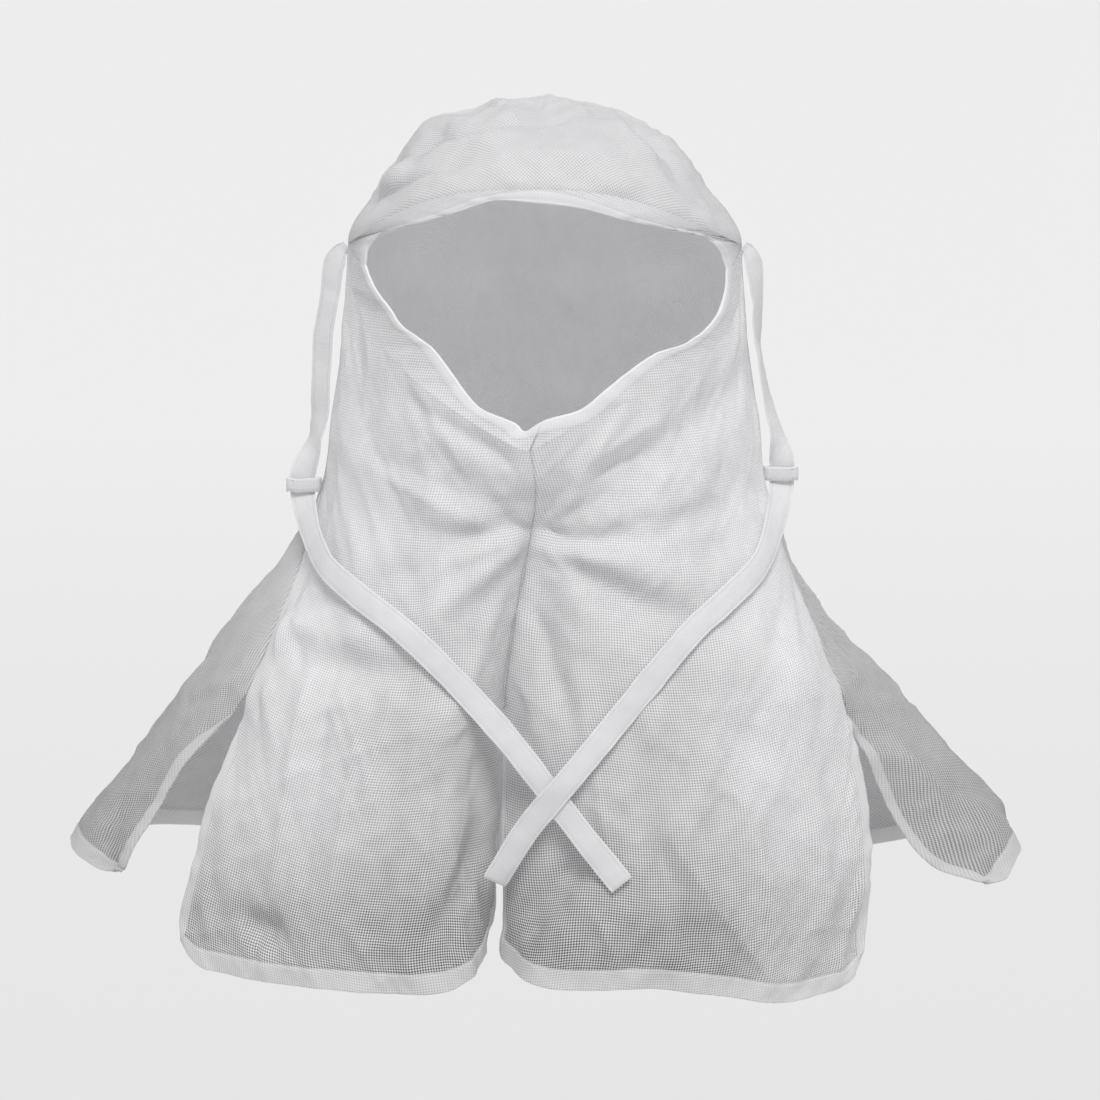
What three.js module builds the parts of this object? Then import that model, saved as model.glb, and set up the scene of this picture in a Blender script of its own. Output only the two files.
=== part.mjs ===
// A disposable cleanroom hood with a shoulder cape, in the form that it has when it is worn.
// Millimetres, +Z up. The face looks along -Y and the wearer's left is +X.
// The origin is the top of the head space, on the middle of the crown's cloth.

import * as THREE from 'three';

// Driving dimensions
const hoodHeight = 479;
const headHalfWidth = 110;
const capeHalfWidth = 276;
const faceDepth = 102;
const chestDepth = 139;
const backDepth = 125;
const foreheadDrop = 45;
const templeDrop = 82;
const chinDrop = 186;
const crownSetback = 5;
const slitSpread = 4;
const clothWall = 1.2;
const hemWall = 2.4;
const hemWidth = 12;
const faceHemWidth = 11;
const seamGap = 0.3;
const tieWidth = 14;
const tieWall = 1.6;
const loopBand = 8;
const loopWall = 1.2;
const loopSlot = 4;
const loopPlay = 2.4;

// How many cells each sheet has
const seamCells = 12;
const panelCells = { across: 15, below: 7 };
const backCells = { across: 16, below: 6 };
const crownCells = { around: 22, down: 7 };
const hemStep = 1.5;

// How the curves between the tables' rows are shaped
const slopeStep = 0.01;
const crownRound = 1.04;
const crownFrontRound = 0.16;
const creaseSwell = 1.2;
const cornerPower = 9;
const frontSquare = { top: 2, hem: 2.3 };
const backFall = { top: 2, hem: 1.2 };
const foldPeak = 0.7;
const foldSpread = { start: 0.6, end: 1.5 };
const foldFade = 6;
const axisShare = 0.45;

// How many rows below the slits' tops the hems start, and over how many rows joined panels part
const hemStartRows = 0.2;
const sideBlendRows = 0.5;
const centreBlendRows = 2;

// The side seam from the temple to the top of the side slit.
// flare: from the head's half width to the cape's; forward: share of chestDepth; drop: from the temple to the hem.
const SEAM = [
  { flare: 0.0, forward: 0.0, drop: 0.0 },
  { flare: 0.025, forward: 0.0, drop: 0.139 },
  { flare: 0.067, forward: 0.0, drop: 0.255 },
  { flare: 0.09, forward: 0.0, drop: 0.346 },
  { flare: 0.16, forward: 0.115, drop: 0.444 },
  { flare: 0.25, forward: 0.302, drop: 0.535 },
  { flare: 0.33, forward: 0.446, drop: 0.614 },
];
const slitRow = SEAM.length - 1;

// Free edges of the front flaps and of the shoulder flaps, below the top of the side slit
const FLAP_EDGE = {
  right: [
    { flare: 0.443, forward: 0.532, drop: 0.732 },
    { flare: 0.524, forward: 0.59, drop: 0.852 },
    { flare: 0.56, forward: 0.61, drop: 0.93 },
    { flare: 0.535, forward: 0.655, drop: 0.99 },
  ],
  left: [
    { flare: 0.4, forward: 0.532, drop: 0.732 },
    { flare: 0.428, forward: 0.59, drop: 0.856 },
    { flare: 0.41, forward: 0.61, drop: 0.94 },
    { flare: 0.372, forward: 0.655, drop: 1.004 },
  ],
};
const WING_EDGE = {
  right: [
    { flare: 0.548, forward: 0.381, drop: 0.728 },
    { flare: 0.73, forward: 0.345, drop: 0.852 },
    { flare: 0.79, forward: 0.302, drop: 0.888 },
    { flare: 0.828, forward: 0.273, drop: 0.897 },
  ],
  left: [
    { flare: 0.445, forward: 0.381, drop: 0.728 },
    { flare: 0.615, forward: 0.345, drop: 0.862 },
    { flare: 0.8, forward: 0.302, drop: 0.902 },
    { flare: 0.905, forward: 0.273, drop: 0.914 },
  ],
};

// Rows of a front panel, from the face opening to the hem.
// drop: of the centre seam, from the chin to the hem; belly: from faceDepth to chestDepth; valley: share of
// chestDepth that the centre lies behind the belly; pinch: how narrow that valley is; drift: of the centre seam
// to the wearer's right, share of headHalfWidth.
const FRONT = [
  { drop: 0.0, belly: 0.0, valley: 0.0, pinch: 4, drift: 0.07 },
  { drop: 0.051, belly: 0.02, valley: 0.03, pinch: 5, drift: 0.05 },
  { drop: 0.11, belly: -0.04, valley: 0.08, pinch: 6, drift: 0.05 },
  { drop: 0.168, belly: -0.08, valley: 0.13, pinch: 7, drift: 0.075 },
  { drop: 0.247, belly: 0.12, valley: 0.19, pinch: 6.5, drift: 0.11 },
  { drop: 0.349, belly: 0.38, valley: 0.24, pinch: 6, drift: 0.16 },
  { drop: 0.452, belly: 0.6, valley: 0.27, pinch: 5.6, drift: 0.2 },
  { drop: 0.575, belly: 0.78, valley: 0.3, pinch: 5.6, drift: 0.22 },
  { drop: 0.705, belly: 0.92, valley: 0.33, pinch: 6.5, drift: 0.22 },
  { drop: 0.815, belly: 0.97, valley: 0.36, pinch: 8, drift: 0.22 },
  { drop: 0.92, belly: 1.0, valley: 0.4, pinch: 9, drift: 0.22 },
];
const lastRow = FRONT.length - 1;

// How far the hem's corner at the centre slit is lifted and folded back on each side, more than the rows say.
// lift: share of the way from the chin to the hem; back: share of chestDepth.
const SLIT_CORNER = {
  left: { lift: -0.04, back: -0.1 },
  right: { lift: 0.04, back: 0.06 },
};

// How much lower each front flap's hem hangs than the line between its corners, in even steps from the centre slit
// to the side
const HEM_LINE = {
  left: [{ sag: 0 }, { sag: -4 }, { sag: -5 }, { sag: 1 }, { sag: 9 }, { sag: 5 }],
  right: [{ sag: 0 }, { sag: 2 }, { sag: 3 }, { sag: 3 }, { sag: 2 }, { sag: 0 }],
};

// How much fuller each shoulder is than the rows say, share of the cape's flare
const SHOULDER_FULLNESS = { left: 0, right: 0.055 };
const shoulderRow = 5.2;
const shoulderSpan = 1.5;

// Rows of the crown and back piece below the temples.
// ridge: flare of its outermost line; behind: that line's place, share of backDepth; ridgeDrop and backDrop: from
// the temple to the hem; back: share of backDepth; square: 2 is an ellipse, more is squarer.
const BACK = [
  { ridge: 0.0, behind: 0.0, ridgeDrop: 0.0, backDrop: 0.045, back: 0.9, square: 2 },
  { ridge: 0.025, behind: 0.0, ridgeDrop: 0.139, backDrop: 0.172, back: 0.91, square: 2.05 },
  { ridge: 0.067, behind: 0.0, ridgeDrop: 0.255, backDrop: 0.285, back: 0.86, square: 2.1 },
  { ridge: 0.092, behind: 0.01, ridgeDrop: 0.346, backDrop: 0.386, back: 0.79, square: 2.15 },
  { ridge: 0.19, behind: 0.064, ridgeDrop: 0.452, backDrop: 0.487, back: 0.83, square: 2.3 },
  { ridge: 0.32, behind: 0.08, ridgeDrop: 0.53, backDrop: 0.588, back: 0.9, square: 2.5 },
  { ridge: 0.455, behind: 0.096, ridgeDrop: 0.598, backDrop: 0.677, back: 0.95, square: 2.7 },
  { ridge: 0.63, behind: 0.104, ridgeDrop: 0.682, backDrop: 0.765, back: 0.97, square: 2.9 },
  { ridge: 0.815, behind: 0.112, ridgeDrop: 0.773, backDrop: 0.854, back: 0.99, square: 3.0 },
  { ridge: 0.93, behind: 0.136, ridgeDrop: 0.828, backDrop: 0.917, back: 1.0, square: 3.1 },
  { ridge: 1.0, behind: 0.16, ridgeDrop: 0.882, backDrop: 0.985, back: 1.0, square: 3.2 },
];

// How much lower the back's hem hangs beside each shoulder flap, share of the way from the temple to the hem
const BACK_SAG = { left: 0.095, right: 0.012 };

// How the face opening's line runs on each side: brow, cheek and corner shape its upper line, its lower line and
// its rise to the temple.
const FACE = {
  left: { brow: 2.2, cheek: 0.85, corner: 0.32 },
  right: { brow: 3.2, cheek: 1.2, corner: 0.08 },
};

// Folds that run out of the gathers on the centre seam.
// turn: degrees, 0 to the side and 90 down; reach: share of headHalfWidth; height and width: share of chestDepth,
// a negative height is a valley.
const GATHER_ROW = 3;
const RAYS = {
  left: [
    { turn: -34, reach: 0.7, height: -0.018, width: 0.05 },
    { turn: -12, reach: 1.0, height: 0.02, width: 0.06 },
    { turn: 3, reach: 1.05, height: -0.034, width: 0.045 },
    { turn: 16, reach: 1.0, height: 0.03, width: 0.055 },
    { turn: 30, reach: 0.95, height: -0.03, width: 0.05 },
    { turn: 48, reach: 0.9, height: 0.028, width: 0.07 },
    { turn: 70, reach: 1.0, height: -0.026, width: 0.06 },
  ],
  right: [
    { turn: -38, reach: 0.75, height: -0.022, width: 0.05 },
    { turn: -16, reach: 0.95, height: 0.018, width: 0.06 },
    { turn: -4, reach: 0.8, height: -0.016, width: 0.04 },
    { turn: 11, reach: 0.9, height: 0.022, width: 0.05 },
    { turn: 23, reach: 1.0, height: -0.036, width: 0.045 },
    { turn: 36, reach: 0.95, height: 0.034, width: 0.06 },
    { turn: 58, reach: 0.9, height: -0.02, width: 0.07 },
  ],
};

// Long soft creases over the crown.
// turn: degrees from the face round to the back; spread: degrees that it runs to each side; at: share of the way
// down from the top; width: share of that way; height: share of faceDepth, and a negative one is a valley.
const CROWN_CREASES = [
  { turn: -88, spread: 30, at: 0.48, height: 0.036, width: 0.12 },
  { turn: -58, spread: 15, at: 0.72, height: 0.022, width: 0.1 },
  { turn: -20, spread: 26, at: 0.62, height: -0.02, width: 0.09 },
  { turn: 18, spread: 24, at: 0.5, height: -0.024, width: 0.08 },
  { turn: 52, spread: 12, at: 0.66, height: -0.022, width: 0.1 },
  { turn: 80, spread: 10, at: 0.5, height: 0.02, width: 0.12 },
];

// Degrees that the flat side of each tie turns outward while it hangs beside the face
const HANG_TURN = { left: 52, right: 12 };

// The hanging stretch of a tie, from the temple to the loop. share: of that way; out: share of tieWidth that it
// stands away from the hood; forward: share of faceDepth.
const HANG = [
  { share: 0.32, out: 0.1, forward: 0.01 },
  { share: 0.48, out: 0.1, forward: 0.02 },
  { share: 0.66, out: 0.08, forward: 0.03 },
  { share: 0.84, out: 0.05, forward: 0.02 },
];

// The chest stretch of each tie in the front view. across: share of headHalfWidth to its own side; drop: from the
// temple to the hem.
const CHEST_RUN = {
  right: [
    { across: 1.08, drop: 0.437 },
    { across: 0.91, drop: 0.47 },
    { across: 0.71, drop: 0.503 },
    { across: 0.51, drop: 0.553 },
    { across: 0.22, drop: 0.64 },
    { across: 0.0, drop: 0.712 },
    { across: -0.19, drop: 0.78 },
    { across: -0.38, drop: 0.845 },
  ],
  left: [
    { across: 1.08, drop: 0.435 },
    { across: 0.87, drop: 0.478 },
    { across: 0.71, drop: 0.507 },
    { across: 0.52, drop: 0.552 },
    { across: 0.27, drop: 0.634 },
    { across: 0.05, drop: 0.706 },
    { across: -0.12, drop: 0.773 },
    { across: -0.28, drop: 0.858 },
  ],
};
const CROSSING = 5;

// How a tie lies. bend: radius of its turn at the temple, and lead: its straight start before that, shares of
// tieWidth; upright: share of loopBand above and below a loop's middle that it passes straight.
// TIE_REST: stretches of the chest run; points: how many of the run's; slack: how far it stands off the cloth, in
// clearances; level: how far its flat side turns to the front, from the cloth's own slope.
const TIE_LIE = { bend: 0.6, lead: 0.15, upright: 0.7 };
const TIE_REST = [
  { points: 3, slack: 3, level: 0.2 },
  { points: 5, slack: 2.3, level: 0.75 },
];
const tieSteps = 40;
const loopRow = 3;
const loopReach = 0.03;

// Search for the place of a panel behind a point of the front view
const searchRounds = 24;
const searchShare = 0.7;

const SIDES = { left: 1, right: -1 };

const cloth = new THREE.MeshStandardMaterial({ color: 0xe4e6e8, roughness: 0.85, metalness: 0 });
const hemCloth = new THREE.MeshStandardMaterial({ color: 0xeceef0, roughness: 0.85, metalness: 0 });
const tieCloth = new THREE.MeshStandardMaterial({ color: 0xf0f1f2, roughness: 0.8, metalness: 0 });

const mix = (from, to, share) => from + (to - from) * share;
const clamp01 = (value) => Math.min(1, Math.max(0, value));
const smooth = (value) => clamp01(value) ** 2 * (3 - 2 * clamp01(value));
const bell = (distance, width) => Math.exp(-((distance / width) ** 2));
const within = (value, low, high) => Math.min(high, Math.max(low, value));
const radians = (degrees) => (degrees * Math.PI) / 180;

// Smooth value of one column of a table at a row number that may lie between two rows
function read(rows, name, at) {
  const last = rows.length - 1;
  const index = Math.max(0, Math.min(Math.floor(at), last - 1));
  const share = at - index;
  const here = rows[index][name];
  const next = rows[index + 1][name];
  const startSlope = index === 0 ? next - here : (next - rows[index - 1][name]) / 2;
  const endSlope = index + 1 === last ? next - here : (rows[index + 2][name] - here) / 2;
  const square = share * share;
  const cube = square * share;
  return (
    here * (2 * cube - 3 * square + 1) +
    startSlope * (cube - 2 * square + share) +
    next * (3 * square - 2 * cube) +
    endSlope * (cube - square)
  );
}

// Edge of a panel at a row: the side seam, and below the slit's top the flap's own free edge
function edgeAt(flap, at) {
  const free = [SEAM[slitRow], ...flap];
  const rows = at <= slitRow ? SEAM : free;
  const row = at <= slitRow ? at : at - slitRow;
  return {
    x: mix(headHalfWidth, capeHalfWidth, read(rows, 'flare', row)),
    forward: chestDepth * Math.max(0, read(rows, 'forward', row)),
    drop: mix(templeDrop, hoodHeight, read(rows, 'drop', row)),
  };
}

// Distance from the axis to an oval. angle: 0 along its depth; square: 2 is an ellipse, more is squarer.
function ovalReach(angle, halfWidth, depth, square) {
  const wide = (Math.abs(Math.sin(angle)) / halfWidth) ** square;
  const deep = (Math.abs(Math.cos(angle)) / depth) ** square;
  return (wide + deep) ** (-1 / square);
}

// How far the folds from the gathers stand out at a place of a panel
function foldHeight(sideName, across, drop) {
  const gatherDrop = mix(chinDrop, hoodHeight, FRONT[GATHER_ROW].drop);
  let height = 0;
  for (const ray of RAYS[sideName]) {
    const turn = radians(ray.turn);
    const along = across * Math.cos(turn) + (drop - gatherDrop) * Math.sin(turn);
    const aside = (drop - gatherDrop) * Math.cos(turn) - across * Math.sin(turn);
    const reach = ray.reach * headHalfWidth;
    const share = along / reach;
    if (share <= 0 || share >= 1) continue;
    const width = ray.width * chestDepth * mix(foldSpread.start, foldSpread.end, share);
    height += ray.height * chestDepth * Math.sin(Math.PI * share ** foldPeak) * bell(aside, width);
  }
  return height;
}

// Middle of a front panel's cloth. across: 0 at the centre seam, 1 at the side; at: row number.
function frontPoint(sideName, across, at) {
  const side = SIDES[sideName];
  const edge = edgeAt(FLAP_EDGE[sideName], at);
  const belly = mix(faceDepth, chestDepth, read(FRONT, 'belly', at));
  const square = mix(frontSquare.top, frontSquare.hem, at / lastRow);
  const halfWidth = edge.x / (1 - (edge.forward / belly) ** square) ** (1 / square);
  const angle = Math.atan2(edge.x, edge.forward) * across;
  const reach = ovalReach(angle, halfWidth, belly, square);
  const below = smooth((at - slitRow) / (lastRow - slitRow));
  const { lift, back } = SLIT_CORNER[sideName];
  const pinch = read(FRONT, 'pinch', at);
  const valley = chestDepth * (read(FRONT, 'valley', at) + back * below) * (1 - across) ** pinch;
  const { cheek, corner } = FACE[sideName];
  const faceLine = 1 - (1 - corner) * across ** cheek - corner * across ** cornerPower;
  const fall = mix(faceLine, (1 - across) ** pinch, smooth(at / slitRow));
  const centreDrop = mix(chinDrop, hoodHeight, read(FRONT, 'drop', at) - lift * below);
  const sag = read(HEM_LINE[sideName], 'sag', across * (HEM_LINE[sideName].length - 1));
  const drop = mix(edge.drop, centreDrop, fall) + sag * below;
  const fade = smooth(at) * smooth((1 - across) * foldFade);
  const outward = foldHeight(sideName, reach * Math.sin(angle), drop) * fade;
  const opening = slitSpread * below * (1 - across);
  const drift = headHalfWidth * read(FRONT, 'drift', at) * (1 - across) ** 2;
  return new THREE.Vector3(
    side * ((reach + outward) * Math.sin(angle) + opening) - drift,
    valley - (reach + outward) * Math.cos(angle),
    -drop,
  );
}

// Middle of the back's cloth. across: 0 at the side seam or slit, 1 at the centre back.
function backPoint(sideName, across, at) {
  const edge = edgeAt(WING_EDGE[sideName], at);
  const fullness = SHOULDER_FULLNESS[sideName] * bell(at - shoulderRow, shoulderSpan);
  const ridgeX = mix(headHalfWidth, capeHalfWidth, read(BACK, 'ridge', at) + fullness);
  const ridgeY = backDepth * read(BACK, 'behind', at);
  const ridgeDrop = mix(templeDrop, hoodHeight, read(BACK, 'ridgeDrop', at));
  const square = read(BACK, 'square', at);
  const start = -Math.atan2(Math.max(0, edge.forward + ridgeY), edge.x);
  const angle = mix(start, Math.PI / 2, across);
  if (angle < 0) {
    const share = angle / start;
    return new THREE.Vector3(
      SIDES[sideName] * mix(ridgeX, edge.x, share ** 2),
      mix(ridgeY, -edge.forward, share),
      -mix(ridgeDrop, edge.drop, share ** 2),
    );
  }
  const depth = backDepth * read(BACK, 'back', at) - ridgeY;
  const reach = ovalReach(Math.PI / 2 - angle, ridgeX, depth, square);
  const sag = BACK_SAG[sideName] * smooth((at - slitRow) / (lastRow - slitRow)) * Math.sin(2 * angle);
  const backDrop = mix(templeDrop, hoodHeight, read(BACK, 'backDrop', at) + sag);
  return new THREE.Vector3(
    SIDES[sideName] * reach * Math.cos(angle),
    ridgeY + reach * Math.sin(angle),
    -mix(ridgeDrop, backDrop, Math.sin(angle) ** mix(backFall.top, backFall.hem, at / lastRow)),
  );
}

// Point of the face opening's surface, an upright elliptic wall. angle: 0 at the middle of the face.
function facePoint(angle, drop) {
  const reach = 1 / Math.hypot(Math.sin(angle) / headHalfWidth, Math.cos(angle) / faceDepth);
  return new THREE.Vector3(reach * Math.sin(angle), -reach * Math.cos(angle), -drop);
}

function faceNormal(angle) {
  const { x, y } = facePoint(angle, 0);
  return new THREE.Vector3(x / headHalfWidth ** 2, y / faceDepth ** 2, 0).normalize();
}

function browDrop(angle) {
  const brow = angle > 0 ? FACE.left.brow : FACE.right.brow;
  return mix(foreheadDrop, templeDrop, Math.abs(Math.sin(angle)) ** brow);
}

// Crown between its top and a point of its lower ring. down: 0 at the top, 1 at the ring; turn: from the face round.
function crownPoint(ring, turn, down) {
  const angle = (down * Math.PI) / 2;
  const round = crownRound + crownFrontRound * Math.max(0, Math.cos(turn)) ** 2;
  const spread = Math.sin(angle) ** round;
  let crease = 0;
  for (const fold of CROWN_CREASES) {
    const aside = bell(turn - radians(fold.turn), radians(fold.spread));
    crease += faceDepth * fold.height * aside * bell(down - fold.at, fold.width);
  }
  const swell = 1 + (crease / faceDepth) * creaseSwell;
  return new THREE.Vector3(
    ring.x * spread * swell,
    mix(crownSetback, ring.y, spread * swell),
    ring.z * (1 - Math.cos(angle) ** round) + crease * Math.cos(angle),
  );
}

// A cloth sheet that is thickened to one closed solid
class Sheet {
  constructor() {
    this.points = [];
    this.normals = [];
    this.backs = [];
    this.faces = [];
  }

  add(point, normal, back = clothWall / 2) {
    this.points.push(point);
    this.normals.push(normal);
    this.backs.push(back);
    return this.points.length - 1;
  }

  triangle(a, b, c) {
    this.faces.push([a, b, c]);
  }

  quad(a, b, c, d) {
    this.triangle(a, b, c);
    this.triangle(a, c, d);
  }

  // Fills a grid of points, given as rows of their numbers
  grid(table) {
    for (let row = 0; row + 1 < table.length; row += 1) {
      const [upper, lower] = [table[row], table[row + 1]];
      for (let column = 0; column + 1 < upper.length; column += 1) {
        this.quad(upper[column], upper[column + 1], lower[column + 1], lower[column]);
      }
    }
  }

  // Turns every face the same way when they look against the normals on the whole
  faceOutward() {
    let agreement = 0;
    for (const face of this.faces) {
      const [p, q, r] = face.map((index) => this.points[index]);
      const facing = q.clone().sub(p).cross(r.clone().sub(p));
      agreement += facing.dot(this.normals[face[0]]);
    }
    if (agreement < 0) this.faces.forEach((face) => face.reverse());
  }

  geometry(front = clothWall / 2) {
    this.faceOutward();
    const count = this.points.length;
    const offset = (index, depth) => this.points[index].clone().addScaledVector(this.normals[index], depth);
    const outer = this.points.map((_, index) => offset(index, front));
    const inner = this.points.map((_, index) => offset(index, -this.backs[index]));
    const indices = [];
    const open = new Map();
    for (const [a, b, c] of this.faces) {
      indices.push(a, b, c, a + count, c + count, b + count);
      for (const [from, to] of [[a, b], [b, c], [c, a]]) {
        if (!open.delete(`${to},${from}`)) open.set(`${from},${to}`, [from, to]);
      }
    }
    for (const [from, to] of open.values()) {
      indices.push(to, from, from + count, to, from + count, to + count);
    }
    const shape = new THREE.BufferGeometry().setFromPoints([...outer, ...inner]);
    shape.setIndex(indices);
    shape.computeVertexNormals();
    return shape;
  }
}

// Normal of a surface given as a function of two values, on the side away from the hood's axis
function normalOf(surface, across, at) {
  const alongAcross = surface(clamp01(across + slopeStep), at).sub(surface(clamp01(across - slopeStep), at));
  const low = Math.min(lastRow, at + slopeStep * lastRow);
  const high = Math.max(0, at - slopeStep * lastRow);
  const alongDown = surface(across, low).sub(surface(across, high));
  const normal = alongAcross.cross(alongDown).normalize();
  const here = surface(across, at);
  const axis = new THREE.Vector3(here.x * axisShare, 0, 0);
  return normal.dot(here.sub(axis).setZ(0)) < 0 ? normal.negate() : normal;
}

// Normals along a side seam: shared by the front and the back down to the slit, and each one's own below it
function seamNormal(sideName, at) {
  const front = normalOf((across, row) => frontPoint(sideName, across, row), 1, at);
  const back = normalOf((across, row) => backPoint(sideName, across, row), 0, at);
  const own = smooth((at - slitRow) / sideBlendRows);
  const shared = front.clone().add(back).normalize();
  return { front: shared.clone().lerp(front, own).normalize(), back: shared.lerp(back, own).normalize() };
}

// Normal along the centre seam: shared by both panels down to the slit, and each panel's own below it
function centreNormal(sideName, at) {
  const left = normalOf((across, row) => frontPoint('left', across, row), 0, at);
  const right = normalOf((across, row) => frontPoint('right', across, row), 0, at);
  const own = smooth((at - slitRow) / centreBlendRows);
  return left.clone().add(right).normalize().lerp(sideName === 'left' ? left : right, own).normalize();
}

function lengthOf(curve) {
  const samples = 16;
  let length = 0;
  for (let index = 0; index < samples; index += 1) {
    length += curve(index / samples).distanceTo(curve((index + 1) / samples));
  }
  return length;
}

// Grid lines as shares of a length: a hem line at one or both ends, and even cells between them
function lines(length, cells, hemAtStart, hemAtEnd) {
  const hem = hemWidth / length;
  const step = hemStep / length;
  const start = hemAtStart ? hem + step : 0;
  const end = hemAtEnd ? 1 - hem - step : 1;
  const even = Array.from({ length: cells + 1 }, (_, index) => mix(start, end, index / cells));
  return [...(hemAtStart ? [0, hem] : []), ...even, ...(hemAtEnd ? [1 - hem, 1] : [])];
}

// Row numbers of a sheet: the same ones down the side seam for the front and the back, then down to the hem
function rowNumbers(length, cellsBelow) {
  const slit = slitRow / lastRow;
  const seam = Array.from({ length: seamCells }, (_, index) => (slitRow * index) / seamCells);
  const below = lines(length * (1 - slit), cellsBelow, false, true);
  return [...seam, ...below.map((share) => mix(slitRow, lastRow, share))];
}

const hemBack = hemWall - clothWall / 2;

// Moves the points of one side of a grid towards the next line, so that joined sheets keep their gap
function openSeam(grid, edge, next, gap) {
  for (let index = 0; index < edge.length; index += 1) {
    const inward = grid[next[index]].clone().sub(grid[edge[index]]).normalize();
    grid[edge[index]].addScaledVector(inward, gap);
  }
}

function panelColumns(sideName, at) {
  return lines(lengthOf((share) => frontPoint(sideName, share, at)), panelCells.across, true, true);
}

function frontPanel(sideName) {
  const surface = (across, at) => frontPoint(sideName, across, at);
  const sheet = new Sheet();
  const table = [];
  const rows = rowNumbers(lengthOf((share) => surface(0.5, share * lastRow)), panelCells.below);
  for (let row = 0; row < rows.length; row += 1) {
    const at = rows[row];
    const inHem = row >= rows.length - 2;
    const columnShares = panelColumns(sideName, at);
    const last = columnShares.length - 1;
    table.push(
      columnShares.map((across, column) => {
        const atSide = column < 2 || column > last - 2;
        const thick = inHem || (atSide && at > slitRow + hemStartRows);
        let normal = normalOf(surface, across, at);
        if (column === last) normal = seamNormal(sideName, at).front;
        if (column === 0) normal = centreNormal(sideName, at);
        if (row === 0) normal = faceNormal((SIDES[sideName] * across * Math.PI) / 2);
        return sheet.add(surface(across, at), normal, thick ? hemBack : clothWall / 2);
      }),
    );
  }
  const last = table[0].length - 1;
  openSeam(sheet.points, table.map((line) => line[0]), table.map((line) => line[1]), seamGap / 2);
  openSeam(sheet.points, table.map((line) => line[last]), table.map((line) => line[last - 1]), seamGap / 2);
  openSeam(sheet.points, table[0], table[1], seamGap / 2);
  sheet.grid(table);
  return sheet.geometry();
}

// Crown, back and both shoulder flaps in one sheet, open round the face and between the side seams
function crownBack() {
  const sheet = new Sheet();
  const table = [];
  const rows = rowNumbers(lengthOf((share) => backPoint('left', 0.5, share * lastRow)), backCells.below);
  for (let row = 0; row < rows.length; row += 1) {
    const at = rows[row];
    const inHem = row >= rows.length - 2;
    const line = [];
    for (const sideName of ['left', 'right']) {
      const surface = (across, index) => backPoint(sideName, across, index);
      const shares = lines(lengthOf((share) => surface(share, at)), backCells.across, true, false);
      const half = shares.map((across, column) => {
        const thick = inHem || (column < 2 && at > slitRow + hemStartRows);
        let normal = normalOf(surface, across, at);
        if (column === 0) normal = seamNormal(sideName, at).back;
        if (across === 1) normal.setX(0).normalize();
        return { point: surface(across, at), normal, back: thick ? hemBack : clothWall / 2 };
      });
      if (sideName === 'left') line.push(...half);
      else line.push(...half.reverse().slice(1));
    }
    table.push(line.map((corner) => sheet.add(corner.point, corner.normal, corner.back)));
  }
  const last = table[0].length - 1;
  const backRing = table[0].map((index) => ({ index, point: sheet.points[index].clone() }));
  const browRing = [];
  for (let step = 1; step < crownCells.around; step += 1) {
    const angle = mix(-Math.PI / 2, Math.PI / 2, step / crownCells.around);
    const point = facePoint(angle, browDrop(angle));
    browRing.push({ index: sheet.add(point.clone(), faceNormal(angle)), point });
  }
  const ring = [...backRing, ...browRing];
  const top = sheet.add(new THREE.Vector3(0, crownSetback, 0), new THREE.Vector3(0, 0, 1));
  const rings = [];
  for (let level = 1; level < crownCells.down; level += 1) {
    const down = level / crownCells.down;
    rings.push(
      ring.map(({ point }) => {
        const turn = Math.atan2(point.x, -point.y);
        const here = crownPoint(point, turn, down);
        const lower = crownPoint(point, turn, down + 0.02).sub(here);
        const around = new THREE.Vector3(-(here.y - crownSetback), here.x, 0);
        const normal = around.cross(lower).normalize();
        return sheet.add(here, normal.z < 0 ? normal.negate() : normal);
      }),
    );
  }
  rings.push(ring.map(({ index }) => index));
  openSeam(sheet.points, browRing.map(({ index }) => index), rings.at(-2).slice(last + 1), seamGap / 2);
  const count = ring.length;
  for (let step = 0; step < count; step += 1) {
    const next = (step + 1) % count;
    sheet.triangle(top, rings[0][next], rings[0][step]);
    for (let level = 0; level + 1 < rings.length; level += 1) {
      sheet.quad(rings[level][step], rings[level][next], rings[level + 1][next], rings[level + 1][step]);
    }
  }
  openSeam(sheet.points, table.map((line) => line[0]), table.map((line) => line[1]), seamGap / 2);
  openSeam(sheet.points, table.map((line) => line[last]), table.map((line) => line[last - 1]), seamGap / 2);
  sheet.grid(table);
  return sheet.geometry();
}

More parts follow.
